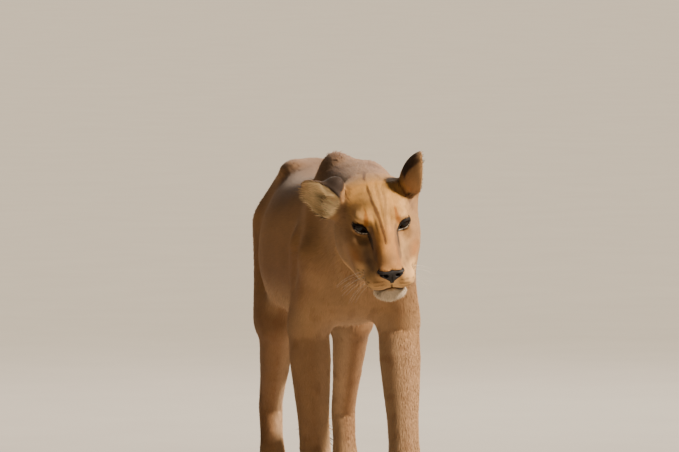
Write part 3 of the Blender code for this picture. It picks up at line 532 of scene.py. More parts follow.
def tailShare(points):  # how far along the tail each point lies, in stations, and its distance from the line
    line = np.array(tail)[:, :3]
    best, share = np.full(len(points), 9.0), np.zeros(len(points))
    for k, (a, b) in enumerate(zip(line[:-1], line[1:])):
        t = np.clip((points - a) @ (b - a) / ((b - a) @ (b - a)), 0, 1)
        away = np.linalg.norm(points - a - t[:, None] * (b - a), axis=1)
        closer = away < best
        best[closer], share[closer] = away[closer], k + t[closer]
    return share, best


def earShare(local, side):  # across, along, 1 on the ear, and 1 on its outer side
    base, axes = earFrame(side)
    across, along, out = ((local - base) @ axes).T
    on = ramp(0.006, 0.020, along) * (np.abs(across) < 0.068) * (np.abs(out) < 0.075) * (along < 0.150)
    return across, along, on, ramp(-0.0010, 0.0010, earBowl(local, side)[1])


coat = {  # depth of the coat between the skin and its tips
    "body": 0.0060,
    "belly": 0.0060,  # more than on the rest of the body
    "legs": 0.0036,
    "feet": 0.0022,
    "tail": 0.0032,
    "tuft": 0.0150,
    "face": 0.0016,
    "cheek": 0.0045,
    "ear": 0.0010,
}


def coatDepth(points):
    y, z = points.T[1:]
    depth = coat["body"] + coat["belly"] * ramp(0.60, 0.52, z) * ramp(-0.26, -0.16, y) * ramp(0.30, 0.18, y)
    depth = depth + (coat["legs"] - depth) * ramp(0.60, 0.46, z)
    depth += (coat["feet"] - depth) * ramp(0.14, 0.08, z)
    share, away = tailShare(points)
    onTail = ramp(0.6, 1.6, share) * ramp(0.10, 0.06, away)
    tip = coat["tail"] + (coat["tuft"] - coat["tail"]) * ramp(6.4, 8.0, share) * ramp(10.2, 9.0, share)
    depth += (tip - depth) * onTail
    local = toHead(points)
    onHead = ramp(0.250, 0.180, headAway(local))
    face = coat["face"] + (coat["cheek"] - coat["face"]) * ramp(0.02, -0.08, local[:, 1])
    depth += (face - depth) * onHead
    for side in (-1, 1):
        depth += (coat["ear"] - depth) * earShare(local, side)[2]
    return depth * ramp(soleLevel, soleLevel + 0.022, z)


def bodyDistance(points):  # to the tips of the coat
    clay = Clay(points)
    clay.loft(trunk)
    clay.loft(neck, 0.05)
    clay.ball((0, 0.40, 0.785), (0.108, 0.165, 0.092), 0.04)  # pelvis
    for side in (-1, 1):
        clay.ball((side * 0.062, 0.335, 0.850), (0.030, 0.050, 0.026), 0.04)  # point of the hip
    for side in (1, -1):
        for build, joints in ((foreleg, forelegs[side]), (hindLeg, hindLegs[side])):
            corners = np.array(list(joints.values()))
            chosen = clay.near(corners.min(axis=0) - 0.20, corners.max(axis=0) + 0.20, 0)
            leg = Clay(points[chosen])
            build(leg, joints, side)
            clay.merge(chosen, leg.distance, 0.045)
    rope = Clay(points)
    rope.chain(tail, 0.002)
    clay.merge(slice(None), rope.distance, 0.03)
    chosen = clay.near(headMiddle - 0.30, headMiddle + 0.30, 0)
    local = toHead(points[chosen])
    clay.merge(chosen, headDistance(local), 0.035)
    for side in (1, -1):
        clay.merge(chosen, earDistance(local, side), 0.010)
    return clay.distance


def skinDistance(points):
    distance = bodyDistance(points) + coatDepth(points)
    chosen = np.flatnonzero(np.all(np.abs(points - headMiddle) < 0.22, axis=1))
    if len(chosen):
        distance[chosen] = shapeFace(toHead(points[chosen]), distance[chosen])
    return np.maximum(distance, soleLevel - points[:, 2])


# from masses to a mesh
class Lens:  # a grid that is fine round the head and widens smoothly away from it
    fine, coarse = 0.17, 0.50

    def __init__(self, cell, farCell):
        self.real = np.linspace(0, 2.5, 5001)
        growth = 1 + (farCell / cell - 1) * ramp(self.fine, self.coarse, self.real)
        self.drawn = np.concatenate(((0,), np.cumsum(np.diff(self.real) / growth[1:])))
        self.centre = fromHead((0, -0.03, -0.02))

    def toReal(self, drawn):
        radius = np.linalg.norm(drawn, axis=-1, keepdims=True) + 1e-9
        return drawn * (np.interp(radius, self.drawn, self.real) / radius) + self.centre

    def toDrawn(self, real):
        away = real - self.centre
        radius = np.linalg.norm(away, axis=-1, keepdims=True) + 1e-9
        return away * (np.interp(radius, self.real, self.drawn) / radius)


cubeCorners = np.array(list(np.ndindex(2, 2, 2)))
cellEdges = [(a, b) for a in cubeCorners for b in cubeCorners if (b - a).sum() == 1 and (b - a).min() == 0]


def untie(value, rounds=10):  # no grid square keeps corners that alternate in and out
    for _ in range(rounds):
        flipped = 0
        for axis in range(3):
            one, two = np.eye(3, dtype=int)[[(axis + 1) % 3, (axis + 2) % 3]]
            ring = np.array((0 * one, one, one + two, two))
            span = np.array(value.shape) - one - two
            sides = [value[tuple(slice(a, a + n) for a, n in zip(shift, span))] < 0 for shift in ring]
            tied = np.argwhere((sides[0] == sides[2]) & (sides[1] == sides[3]) & (sides[0] != sides[1]))
            square = tied[:, None, :] + ring[None]
            faint = np.abs(value[tuple(np.moveaxis(square, -1, 0))]).argmin(axis=1)
            chosen = tuple(square[np.arange(len(tied)), faint].T)
            value[chosen] = np.where(value[chosen] < 0, 1e-7, -1e-7)
            flipped += len(tied)
        if not flipped:
            return


def wrap(field, low, high, cell, lens=None):  # quads over the field's zero surface
    block, atOnce, samples = 4, 60000, 24

    def allOf(*ranges):
        return np.stack(np.meshgrid(*ranges, indexing="ij"), -1).reshape(-1, 3)

    box = allOf(*(np.linspace(a, b, samples) for a, b in zip(low, high)))
    drawn = lens.toDrawn(box) if lens else box
    start = drawn.min(axis=0) - 3 * cell
    blocks = np.ceil((drawn.max(axis=0) + 3 * cell - start) / (cell * block)).astype(int)
    counts = blocks * block

    def place(index):
        spot = start + index * cell
        return lens.toReal(spot) if lens else spot

    def onGrid(index):
        parts = np.array_split(place(index), max(1, len(index) // atOnce))
        return np.concatenate([field(part) for part in parts])

    knots = allOf(*(np.arange(n + 1) for n in blocks)) * block
    spots = place(knots).reshape(*(blocks + 1), 3)
    rough = onGrid(knots).reshape(blocks + 1)
    nearest, widest = np.full(blocks, 9.0), np.zeros(blocks)
    for i, j, k in cubeCorners:
        part = tuple(slice(a, a + n) for a, n in zip((i, j, k), blocks))
        nearest = np.minimum(nearest, np.abs(rough[part]))
        widest = np.maximum(widest, np.linalg.norm(spots[part] - spots[:-1, :-1, :-1], axis=-1))
    value = np.repeat(np.repeat(np.repeat(rough[:-1, :-1, :-1], block, 0), block, 1), block, 2)
    chosen = np.argwhere(nearest < widest * 0.9)
    index = (chosen[:, None] * block + allOf(*[np.arange(block)] * 3)[None]).reshape(-1, 3)
    value[tuple(index.T)] = onGrid(index)
    untie(value)
    inside = value < 0
    share = np.zeros(counts - 1, np.int8)
    for i, j, k in cubeCorners:
        share += inside[i : counts[0] - 1 + i, j : counts[1] - 1 + j, k : counts[2] - 1 + k]
    cells = np.argwhere((share > 0) & (share < 8))
    number = np.full(counts - 1, -1)
    number[tuple(cells.T)] = np.arange(len(cells))
    total, crossings = np.zeros(cells.shape), np.zeros(len(cells))
    for a, b in cellEdges:
        va, vb = value[tuple((cells + a).T)], value[tuple((cells + b).T)]
        cut = (va < 0) != (vb < 0)
        part = (va / np.where(cut, va - vb, 1))[cut, None]
        total[cut] += cells[cut] + a + part * (b - a)
        crossings[cut] += 1
    quads = []
    for axis in range(3):
        one, two = np.eye(3, dtype=int)[[(axis + 1) % 3, (axis + 2) % 3]]
        step = np.eye(3, dtype=int)[axis]
        here = inside[tuple(slice(0, n - s) for n, s in zip(counts, step))]
        there = inside[tuple(slice(s, None) for s in step)]
        for edges, turned in ((np.argwhere(here & ~there), 1), (np.argwhere(~here & there), -1)):
            ring = [number[tuple((edges - shift).T)] for shift in (one + two, two, 0 * one, one)]
            quads.append(np.stack(ring[::turned], axis=1))
    return place(total / crossings[:, None]), np.concatenate(quads)


def settle(field, points, rounds=2, probe=0.0005):  # onto the field's zero surface
    for _ in range(rounds):
        value = field(points)
        slope = np.stack([field(points + probe * axis) - value for axis in np.eye(3)], axis=1) / probe
        step = np.clip(value / np.maximum((slope**2).sum(axis=1), 0.25), -0.003, 0.003)
        points = points - slope * step[:, None]
    return points


def meshPiece(name, points, faces, material=None):
    mesh = bpy.data.meshes.new(name)
    faces = faces.tolist() if isinstance(faces, np.ndarray) else faces
    mesh.from_pydata(np.asarray(points).tolist(), [], faces)
    mesh.update()
    made = bpy.data.objects.new(name, mesh)
    bpy.context.collection.objects.link(made)
    if material:
        mesh.materials.append(material)
    return made


def rowsOf(items, key, width=3, kind=float):
    values = np.empty(len(items) * width, kind)
    items.foreach_get(key, values)
    return values.reshape(-1, width)


def coordinates(mesh):
    return rowsOf(mesh.vertices, "co")


def normals(mesh):
    return rowsOf(mesh.vertex_normals, "vector")


def paint(mesh, name, colours):  # a colour for each vertex
    layer = mesh.attributes.new(name, "FLOAT_COLOR", "POINT")
    values = np.ones((len(mesh.vertices), 4))
    values[:, :3] = colours
    layer.data.foreach_set("color", values.ravel())


# where the hair of the head points: places in the head's axes and the ways from them
middleLie = (
    ((0, 0.125, -0.050), (0, -1, 0.50)),
    ((0, 0.090, -0.035), (0, -1, 0.55)),
    ((0, 0.050, -0.010), (0, -1, 0.60)),
    ((0, 0.020, 0.005), (0, -0.9, 0.60)),
    ((0, -0.010, 0.035), (0, -0.7, 0.80)),
    ((0, -0.060, 0.058), (0, -1, 0.10)),
    ((0, -0.120, 0.060), (0, -1, -0.05)),
    ((0, -0.200, 0.036), (0, -1, -0.20)),
    ((0, 0.108, -0.145), (0, -0.2, -1)),
    ((0, 0.085, -0.152), (0, -0.6, -1)),
    ((0, 0.020, -0.150), (0, -1, -0.20)),
    ((0, -0.080, -0.145), (0, -1, -0.10)),
    ((0, -0.180, -0.120), (0, -1, -0.30)),
)
sideLie = (  # on her left, and mirrored
    ((0.030, 0.132, -0.092), (0.7, -0.2, -0.5)),
    ((0.055, 0.095, -0.085), (0.4, -0.9, -0.15)),
    ((0.062, 0.050, -0.070), (0.35, -1, -0.10)),
    ((0.030, 0.070, -0.045), (0.35, -1, 0.25)),
    ((0.050, 0.018, -0.028), (0.6, -0.8, -0.20)),
    ((0.080, -0.020, -0.050), (0.3, -1, -0.35)),
    ((0.090, -0.060, -0.080), (0.15, -1, -0.60)),
    ((0.085, -0.110, -0.100), (0.10, -1, -0.60)),
    ((0.045, 0.000, 0.030), (0.25, -0.6, 0.80)),
    ((0.075, -0.020, 0.015), (0.5, -0.9, 0.30)),
    ((0.085, -0.070, 0.015), (0.3, -1, 0.10)),
    ((0.100, -0.120, -0.020), (0.15, -1, -0.40)),
    ((0.090, -0.170, -0.020), (0.05, -1, -0.40)),
    ((0.035, 0.100, -0.132), (0.35, -0.5, -1)),
    ((0.050, 0.030, -0.135), (0.20, -1, -0.5)),
)


def lieGuides():  # where the hair points, at places over the whole body
    spots, ways = [], []

    def add(spot, way):
        spots.append(spot)
        ways.append(way)

    for table in (trunk[1:], neck[:-1]):
        for y, top, widest, bottom, half in table:
            add((0, y, top), (0, 1, -0.05))
            add((0, y, bottom), (0, 1, 0.0))
            for side in (-1, 1):
                add((side * half, y, widest), (0, 1, -0.38))
                add((side * half * 0.7, y, (top + widest) / 2), (0, 1, -0.22))
                add((side * half * 0.7, y, (bottom + widest) / 2), (0, 1, -0.50))
    add((0, -0.55, 0.66), (0, 0.35, -1))
    add((0, -0.52, 0.58), (0, 0.60, -1))
    for side in (-1, 1):
        hind = hindLegs[side]
        foreNames, hindNames = ("shoulder", "elbow", "wrist", "knuckle"), ("hip", "knee", "ankle", "knuckle")
        for joints, names in ((forelegs[side], foreNames), (hind, hindNames)):
            for a, b in zip(names[:-1], names[1:]):
                way = unit(np.subtract(joints[b], joints[a]))
                for share in (0.25, 0.5, 0.75, 1.0):
                    add(between(joints[a], joints[b], share), way * 0.9 + (0, 0.12, -0.2))
            x, y = joints["knuckle"][:2]
            add((x, y - 0.05, 0.05), (0, -1, -0.45))
            add((x, y - 0.09, 0.03), (0, -0.7, -0.8))
            add((x, y + 0.04, 0.02), (0, 0.2, -1))
        add(offset(hind["ischium"], x=side * 0.03), (0, 0.35, -1))
        add(offset(hind["knee"], y=0.10, z=0.05), (0, 0.2, -1))
    line = np.array(tail)[:, :3]
    for a, b in zip(line[:-1], line[1:]):
        for share in (0.0, 0.5):
            add(tuple(a + (b - a) * share), tuple(unit(b - a)))
    face = list(middleLie)
    for side in (-1, 1):
        face += [((side * a[0], *a[1:]), (side * b[0], *b[1:])) for a, b in sideLie]
        base, axes = earFrame(side)
        for along in (0.02, 0.05, 0.08):
            for spot in ((0, along, -0.03), (0.035, along, 0), (-0.035, along, 0), (0, along, -0.01)):
                face.append((tuple(base + axes @ spot), tuple(axes[:, 1])))
    for spot, way in face:
        add(tuple(fromHead(spot)), tuple(headTurn @ np.array(way, float)))
    return np.array(spots, float), unit(np.array(ways, float))


def lieOf(points, upwards):  # unit vectors along the surface
    spots, ways = lieGuides()
    total = np.zeros((len(points), 3))
    for spot, way in zip(spots, ways):
        weight = 1 / (((points - spot) ** 2).sum(axis=1) + 0.0004) ** 2
        total += weight[:, None] * way
    along = unit(total)
    along -= (along * upwards).sum(axis=1, keepdims=True) * upwards
    return unit(along)


def srgb(r, g, b):  # 0-255 as drawn to the linear numbers that shaders take
    return np.array([c / 255 / 12.92 if c <= 10 else ((c / 255 + 0.055) / 1.055) ** 2.4 for c in (r, g, b)])


tones = {
    "tawny": srgb(164, 120, 74),
    "back": srgb(138, 106, 80),
    "flank": srgb(142, 102, 68),
    "belly": srgb(176, 138, 98),
    "legs": srgb(168, 129, 92),
    "innerLegs": srgb(184, 148, 112),
    "feet": srgb(182, 144, 102),
    "tuft": srgb(40, 28, 21),
    "forehead": srgb(208, 153, 82),
    "bridge": srgb(208, 147, 80),
    "rust": srgb(168, 100, 34),
    "cream": srgb(230, 180, 118),
    "white": srgb(206, 186, 160),
    "cheek": srgb(160, 122, 82),
    "dark": srgb(28, 19, 15),
    "earBack": srgb(52, 38, 29),
    "earInside": srgb(255, 224, 172),
    "spot": srgb(132, 90, 56),
    "lidRim": srgb(244, 226, 204),
    "shade": srgb(104, 82, 66),
    "umber": srgb(96, 58, 26),
}


def coatColour(points, upwards):
    x, y, z = points.T
    colour, lay = layers(tones, "tawny", len(points))
    patchy = cloud(points, 0.06, 3) * 0.10 + cloud(points, 0.02, 4) * 0.07
    up = upwards[:, 2]
    lay("flank", ramp(0.3, -0.2, up) * 0.8)
    lay("back", ramp(0.15, 0.85, up + patchy) * ramp(0.66, 0.80, z) * 0.85)
    low = ramp(0.62, 0.50, z + patchy * 0.15) * ramp(0.5, -0.5, up)
    lay("belly", low * ramp(-0.55, -0.40, y) * ramp(0.46, 0.30, y))
    low = ramp(-0.2, -0.8, up) * ramp(0.72, 0.60, z)
    lay("belly", low * ramp(-0.66, -0.55, y) * ramp(-0.30, -0.44, y) * 0.7)  # under the chest
    lay("legs", ramp(0.52, 0.42, z))
    # painted shade: the hind legs and the rear underside darker, as under the belly
    lay("flank", ramp(0.56, 0.46, z) * ramp(-0.1, 0.1, y) * 0.6)
    lay("innerLegs", ramp(0.56, 0.44, z) * ramp(0.15, -0.55, upwards[:, 0] * np.sign(x)) * 0.95)
    lay("feet", ramp(0.16, 0.06, z) * 0.8)
    lay("belly", ramp(-0.42, -0.54, y) * ramp(0.90, 0.80, z) * ramp(0.44, 0.56, z) * 0.70)  # neck and chest
    streaks = ramp(0.05, 0.45, cloud(points * (1, 0.4, 1), 0.022, 41))
    lay("umber", streaks * ramp(0.84, 0.88, z) * ramp(-0.20, -0.32, y) * 0.45)  # over the shoulders
    spots = ramp(0.42, 0.62, cloud(points, 0.024, 9)) * ramp(0.66, 0.50, z) * ramp(0.12, 0.20, z)
    lay("spot", spots * 0.30)
    share, away = tailShare(points)
    onTail = ramp(0.8, 1.6, share) * ramp(0.10, 0.06, away)
    lay("tawny", onTail)
    lay("innerLegs", onTail * ramp(0.2, -0.6, upwards[:, 1]) * 0.35)
    lay("tuft", onTail * ramp(6.9, 7.5, share + patchy))
    local = toHead(points)
    near = headAway(local)
    chosen = np.flatnonzero(near < 0.26)
    colour[chosen] = headColour(colour[chosen], local[chosen], patchy[chosen], near[chosen])
    return colour * (1 + 0.5 * patchy[:, None])


# lines on the face. line: x beside the middle, z and breadth, in the head's axes; wide and core: how far
# from it the colour ends and is full; ragged: how uneven its edge is; front: the least y it shows at.
# wide and amount are for her right and her left
stripes = {
    "brow": {
        "line": ((0.0400, 0.0120, 0.8), (0.0400, 0.0240, 1.2), (0.0370, 0.0380, 0.5)),
        "tone": "rust", "wide": (0.0085, 0.0085), "core": 0.0020,
        "ragged": -0.0015, "front": -1.0, "amount": (0.80, 0.80),
    },
    "crown": {
        "line": ((0.0010, -0.0100, 0.7), (0.0030, 0.0100, 1.0), (0.0080, 0.0320, 1.3), (0.0190, 0.0560, 0.9)),
        "tone": "umber", "wide": (0.0056, 0.0050), "core": 0.0020,
        "ragged": 0.0012, "front": -1.0, "amount": (0.85, 0.32),
    },
    # a painted shadow line along the edge of the forehead, from the ear towards the eye, stronger on her left
    "temple": {
        "line": ((0.0840, 0.0060, 0.7), (0.0790, 0.0300, 1.1), (0.0600, 0.0560, 0.8)),
        "tone": "umber", "wide": (0.0048, 0.0048), "core": 0.0016,
        "ragged": 0.0010, "front": -0.13, "amount": (0.45, 0.80),
    },
    "tear": {
        "line": ((0.0360, -0.0060, 0.9), (0.0335, -0.0160, 1.0), (0.0330, -0.0290, 0.35)),
        "tone": "dark", "wide": (0.0050, 0.0050), "core": 0.0024,
        "ragged": 0.0, "front": 0.0, "amount": (0.95, 0.95),
    },
    # painted shade in the hollow between the eye and the bridge of the nose
    "hollow": {
        "line": ((0.0300, 0.0080, 0.6), (0.0290, -0.0120, 1.0), (0.0310, -0.0420, 0.6)),
        "tone": "shade", "wide": (0.0110, 0.0110), "core": 0.0030,
        "ragged": 0.0, "front": 0.0, "amount": (0.60, 0.60),
    },
}
whiskerPad = {
    "rows": ((-0.086, 5), (-0.094, 6), (-0.102, 6), (-0.109, 5)),  # height, how many
    "front": 0.119,
    "step": 0.013,  # from whisker to whisker
    "stagger": 0.004,
    "slope": 0.10,
}


def whiskerSpot(height, row, k):  # y and z in the head's axes
    y = whiskerPad["front"] - whiskerPad["step"] * k - whiskerPad["stagger"] * (row % 2)
    return y, height + whiskerPad["slope"] * (whiskerPad["front"] - y)


def stripeAway(local, stripe, side):  # distance from a stripe, shorter where it is broad
    best = np.full(len(local), 9.0)
    for (x0, z0, b0), (x1, z1, b1) in zip(stripe[:-1], stripe[1:]):
        dx, dz = x1 - x0, z1 - z0
        u, v = local[:, 0] * side - x0, local[:, 2] - z0
        t = np.clip((u * dx + v * dz) / (dx * dx + dz * dz), 0, 1)
        best = np.minimum(best, np.hypot(u - t * dx, v - t * dz) / (b0 + t * (b1 - b0)))
    return best


def headColour(body, local, patchy, near):
    x, y, z = local.T
    side = np.abs(x)
    colour, lay = layers(tones, "tawny", len(local))

    def spot(across, wide, height, tall, front):  # a soft spot on each side, ahead of a y
        return bump(side, across, wide) * bump(z, height, tall) * (y > front)

    def layStripe(name, s):
        stripe = stripes[name]
        away = stripeAway(local, stripe["line"], s) + stripe["ragged"] * fine
        dark = ramp(stripe["wide"][s > 0], stripe["core"], away) * (y > stripe["front"])
        lay(stripe["tone"], dark * stripe["amount"][s > 0])

    fine = cloud(local, 0.006, 12)
    blotch = cloud(local * (1, 0.6, 0.45), 0.008, 14)  # short streaks down the face
    lay("cheek", ramp(0.055, 0.075, side) * ramp(0.01, -0.03, z))
    lay("forehead", ramp(-0.02, 0.03, z) * ramp(0.09, 0.05, side))
    lay("back", ramp(-0.10, -0.17, y) * ramp(-0.02, 0.04, z) * 0.6)
    lay("bridge", bump(side, 0, 0.026) * ramp(0.00, 0.05, y) * ramp(-0.085, -0.055, z))
    colour *= 1 + 0.16 * blotch[:, None] * ramp(-0.10, -0.02, y)[:, None]
    lay("cream", spot(0.055, 0.015, 0.026, 0.010, -0.06) * (0.75 + 0.25 * blotch))  # above the eyes
    lay("cream", spot(0.080, 0.016, 0.012, 0.020, -0.09) * 0.30)
    lay("cream", spot(0.012, 0.010, 0.040, 0.022, -0.10) * 0.30)
    for s in (-1, 1):
        layStripe("brow", s)
    lay("rust", spot(0.026, 0.008, -0.030, 0.030, 0.01) * 0.45)
    for s in (-1, 1):
        layStripe("crown", s)
        # the temple line is a painted shadow
        layStripe("temple", s)
    under = bump(side - 0.15 * (z + 0.03), 0.050, 0.015) * bump(z, -0.034, 0.013) * (y > -0.03)
    lay("cream", under * (0.60 + 0.35 * blotch))  # under the eyes
    lay("cream", spot(0.040, 0.012, -0.056, 0.020, 0.02) * (0.40 + 0.4 * blotch))
    lay("rust", bump(side, 0.074, 0.014) * bump(z, -0.052, 0.024) * ramp(-0.08, -0.03, y) * 0.50)
    # painted shade on the sides of the muzzle below the eyes, stronger on her right, the shaded side
    cheek = bump(side, 0.046, 0.016) * bump(z, -0.050, 0.028) * ramp(0.0, 0.03, y)
    lay("shade", cheek * np.where(x < 0, 0.80, 0.40))
    lay("shade", bump(side, 0, 0.022) * bump(z, -0.038, 0.013) * ramp(0.05, 0.08, y) * 0.50)
    # painted shade: the sides of the forehead before the ears darkened with the back's tone
    lay("back", bump(side - 0.1 * z, 0.088, 0.018) * bump(z, 0.020, 0.030) * ramp(-0.12, -0.06, y) * 0.75)
    muzzle = ramp(0.030, 0.060, y) * ramp(-0.058, -0.076, z + patchy * 0.02)
    lay("cream", muzzle * 0.92)
    # painted shade on her right side of the muzzle
    lay("shade", muzzle * (x < 0) * 0.22)
    lay("tawny", muzzle * bump(z, -0.075, 0.012) * bump(side, 0.030, 0.016) * 0.45)
    lay("white", ramp(-0.112, -0.120, z) * ramp(-0.02, 0.04, y))
    lay("cream", ramp(-0.090, -0.125, z) * ramp(-0.20, -0.10, y) * ramp(0.060, -0.02, y) * 0.80)
    lip = z - lipHeight(x, y)
    lay("dark", bump(lip, -0.0016, 0.0052 + 0.0010 * fine) * ramp(0.0, 0.04, y))
    lay("dark", spot(0, 0.0020, -0.098, 0.010, 0.10))
    for height in (-0.080, -0.090, -0.100):  # the rows go on as faint lines to the nose
        line = bump(z + 0.10 * (side - 0.030) - 0.0006 * fine, height, 0.0018)
        lay("umber", line * ramp(0.014, 0.022, side) * ramp(0.048, 0.040, side) * ramp(0.085, 0.10, y) * 0.55)
    for row, (height, count) in enumerate(whiskerPad["rows"]):
        for k in range(count):
            spotY, spotZ = whiskerSpot(height, row, k)
            dot = bump(np.hypot((y - spotY) * 0.55, z - spotZ), 0, 0.0026)
            lay("dark", dot * ramp(0.012, 0.020, side) * 0.75)
    for s in (-1, 1):
        edge, u, v, w = slitDistance(local, s)
        close = (np.abs(u) < 0.045) & (np.abs(v) < 0.03) & (w > -0.006)
        # the black rims of the lids, painted wider above the eye to take in the brow's shade as well
        wide = np.where(v > 0, 0.0048, 0.0036) + 0.0007 * fine
        lay("dark", ramp(wide + 0.0020, wide, edge) * close)
        rim = bump(edge, 0.0016, 0.0007) * ramp(0.0015, -0.001, v - 0.05 * u)
        lay("lidRim", rim * ramp(0.019, 0.014, np.abs(u + 0.001)) * close)
        # painted shade in the crease above the upper lid
        lay("dark", bump(v, 0.013, 0.0035) * bump(u, 0.002, 0.014) * close * 0.30)
        layStripe("tear", s)
        # the hollow line is painted shade beside the nose
        layStripe("hollow", s)
        across, along, on, back = earShare(local, s)
        lay("earInside", on * (1 - back))
        # painted shade in the opening of the ear
        lay("dark", on * (1 - back) * bump(across, -s * 0.020, 0.014) * bump(along, 0.034, 0.022) * 0.85)
        lay("tawny" if s < 0 else "cheek", on * back)
        low, high = 0.012 if s < 0 else 0.018, ears[s]["length"] * 0.90
        black = ramp(low, low + 0.012, along + 0.004 * fine) * ramp(high, high - 0.012, along + 0.004 * fine)
        if s > 0:  # the ear that stands up shows a tawny edge
            black = black * ramp(0.028, 0.016, across + 0.004 * fine)
        lay("earBack", on * back * black)
    keep = ramp(0.25, 0.17, near)[:, None]
    return body * (1 - keep) + colour * keep


# materials
class Wire:  # a socket that can be written with in sums
    def __init__(self, shader, socket):
        self.shader, self.socket = shader, socket

    def sum(self, operation, *values):
        return self.shader.node("ShaderNodeMath", {"operation": operation}, dict(enumerate(values)))

    def __add__(self, other):
        return self.sum("ADD", self, other)

    def __mul__(self, other):
        return self.sum("MULTIPLY", self, other)

    __radd__, __rmul__ = __add__, __mul__


class Shader:
    def __init__(self, name, **fixed):  # fixed: values that are the same all over
        self.material = bpy.data.materials.new(name)
        self.material.use_nodes = True
        self.tree = self.material.node_tree
        self.surface = self.tree.nodes["Principled BSDF"]
        for socket, value in fixed.items():
            self.surface.inputs[socket.replace("_", " ")].default_value = value

    def node(self, kind, settings=None, inputs=None, output=0):
        made = self.tree.nodes.new(kind)
        for key, value in (settings or {}).items():
            setattr(made, key, value)
        for key, value in (inputs or {}).items():
            self.join(value, made.inputs[key])
        return Wire(self, made.outputs[output])

    def join(self, value, socket):
        if isinstance(value, Wire):
            self.tree.links.new(value.socket, socket)
        else:
            socket.default_value = value

    def feed(self, **values):
        for socket, value in values.items():
            self.join(value, self.surface.inputs[socket.replace("_", " ")])

    def place(self):
        return self.node("ShaderNodeTexCoord", output="Object")

    def noise(self, where, scale):
        return self.node("ShaderNodeTexNoise", None, {
            "Vector": where, "Scale": scale, "Detail": 4.0, "Roughness": 0.6,
        })

    def tint(self, colour, factor, other, blend="MIX"):  # a Mix node's colour sockets are 6, 7 and, out, 2
        settings = {"data_type": "RGBA", "blend_type": blend}
        return self.node("ShaderNodeMix", settings, {0: factor, 6: colour, 7: other}, 2)

    def relief(self, height, strength, distance):
        return self.node("ShaderNodeBump", None, {
            "Height": height, "Strength": strength, "Distance": distance,
        })


def hairMaterial(name, fineScale, depth):
    shader = Shader(name, Specular_IOR_Level=0.25, Sheen_Weight=0.08, Sheen_Roughness=0.5)
    where = shader.place()
    fine = shader.noise(where, fineScale)
    colour = shader.node("ShaderNodeAttribute", {"attribute_name": "coatColour"}, output="Color")
    shade = shader.tint((0.80, 0.78, 0.76, 1), fine, (1.16, 1.15, 1.13, 1))
    shader.feed(Base_Color=shader.tint(colour, 1.0, shade, "MULTIPLY"))
    shader.feed(Roughness=0.62 + fine * 0.25, Normal=shader.relief(fine, 0.6, depth))
    return shader.material


def leatherMaterial():
    shader = Shader("nose leather", Specular_IOR_Level=0.35, Coat_Weight=0.05, Coat_Roughness=0.3)
    where = shader.place()
    settings = {"feature": "DISTANCE_TO_EDGE"}
    cells = shader.node("ShaderNodeTexVoronoi", settings, {"Vector": where, "Scale": 620.0})
    grain = shader.noise(where, 160.0)
    pebble = cells * 3.0 + grain * 0.4
    shader.feed(Base_Color=shader.tint((0.006, 0.005, 0.005, 1), grain, (0.026, 0.018, 0.016, 1)))
    shader.feed(Roughness=0.42 + grain * 0.25, Normal=shader.relief(pebble, 0.55, 0.0005))
    return shader.material


def eyeMaterial():
    shader = Shader("eye", Roughness=0.15, Specular_IOR_Level=0.22, Coat_Weight=0.22, Coat_Roughness=0.02)
    where = shader.place()
    streak = shader.noise(where, 420.0)
    colour = shader.node("ShaderNodeAttribute", {"attribute_name": "eyeColour"}, output="Color")
    shade = shader.tint((0.75, 0.75, 0.75, 1), streak, (1.2, 1.2, 1.2, 1))
    shader.feed(Base_Color=shader.tint(colour, 1.0, shade, "MULTIPLY"))
    return shader.material


def plainMaterial(name, colour, roughness, scale):
    shader = Shader(name)
    grain = shader.noise(shader.place(), scale)
    light = tuple(min(c * 1.12, 1) for c in colour)
    shader.feed(Base_Color=shader.tint((*colour, 1), grain, (*light, 1)), Roughness=roughness + grain * 0.1)
    return shader.material


# the skin
skinMesh = {
    "cell": 0.0037,  # of the grid, round the head
    "farCell": 0.0118,
    "low": (-0.24, -1.00, -0.01),
    "high": (0.24, 0.95, 0.99),
    # where it is cut finer: places in the head's axes, how far round them and how often
    "finer": (
        (((-0.053, 0.004, 0), (0.053, 0.004, 0)), 0.027, 2),  # eyes
        (((0, 0.118, -0.100),), 0.052, 1),  # muzzle
    ),
}
fleshNodes = [
    "head", "lower_jaw", "neck", "chest", "belly", "hindquarters", "tail_root", "tail_end", "tail_tuft",
] + [
    f"{part}_{side}" for side in ("left", "right")
    for part in ("ear", "upper_arm", "forearm", "forepaw", "thigh", "shank", "hock", "hind_paw")
]


def buildSkin():
    lens = Lens(skinMesh["cell"], skinMesh["farCell"])
    points, quads = wrap(skinDistance, skinMesh["low"], skinMesh["high"], skinMesh["cell"], lens)
    print(f"skin grid: {len(points)} points, {len(quads)} quads")
    skin = meshPiece("skin", points, quads)
    shape = bmesh.new()
    shape.from_mesh(skin.data)
    for middles, reach, rounds in skinMesh["finer"]:
        for _ in range(rounds):
            spots = toHead(np.array([f.calc_center_median() for f in shape.faces]))
            away = np.min([np.linalg.norm(spots - middle, axis=1) for middle in middles], axis=0)
            shape.faces.ensure_lookup_table()
            edges = {e for k in np.flatnonzero(away < reach) for e in shape.faces[k].edges}
            bmesh.ops.subdivide_edges(shape, edges=list(edges), cuts=1, use_grid_fill=True)
    bmesh.ops.triangulate(shape, faces=[f for f in shape.faces if len(f.verts) > 4])
    shape.to_mesh(skin.data)
    shape.free()
    placed = settle(skinDistance, coordinates(skin.data))
    skin.data.vertices.foreach_set("co", placed.ravel())
    skin.data.update()
    skin.data.shade_smooth()
    skin.data.calc_loop_triangles()
    print(f"skin: {len(skin.data.loop_triangles)} triangles")
    return skin


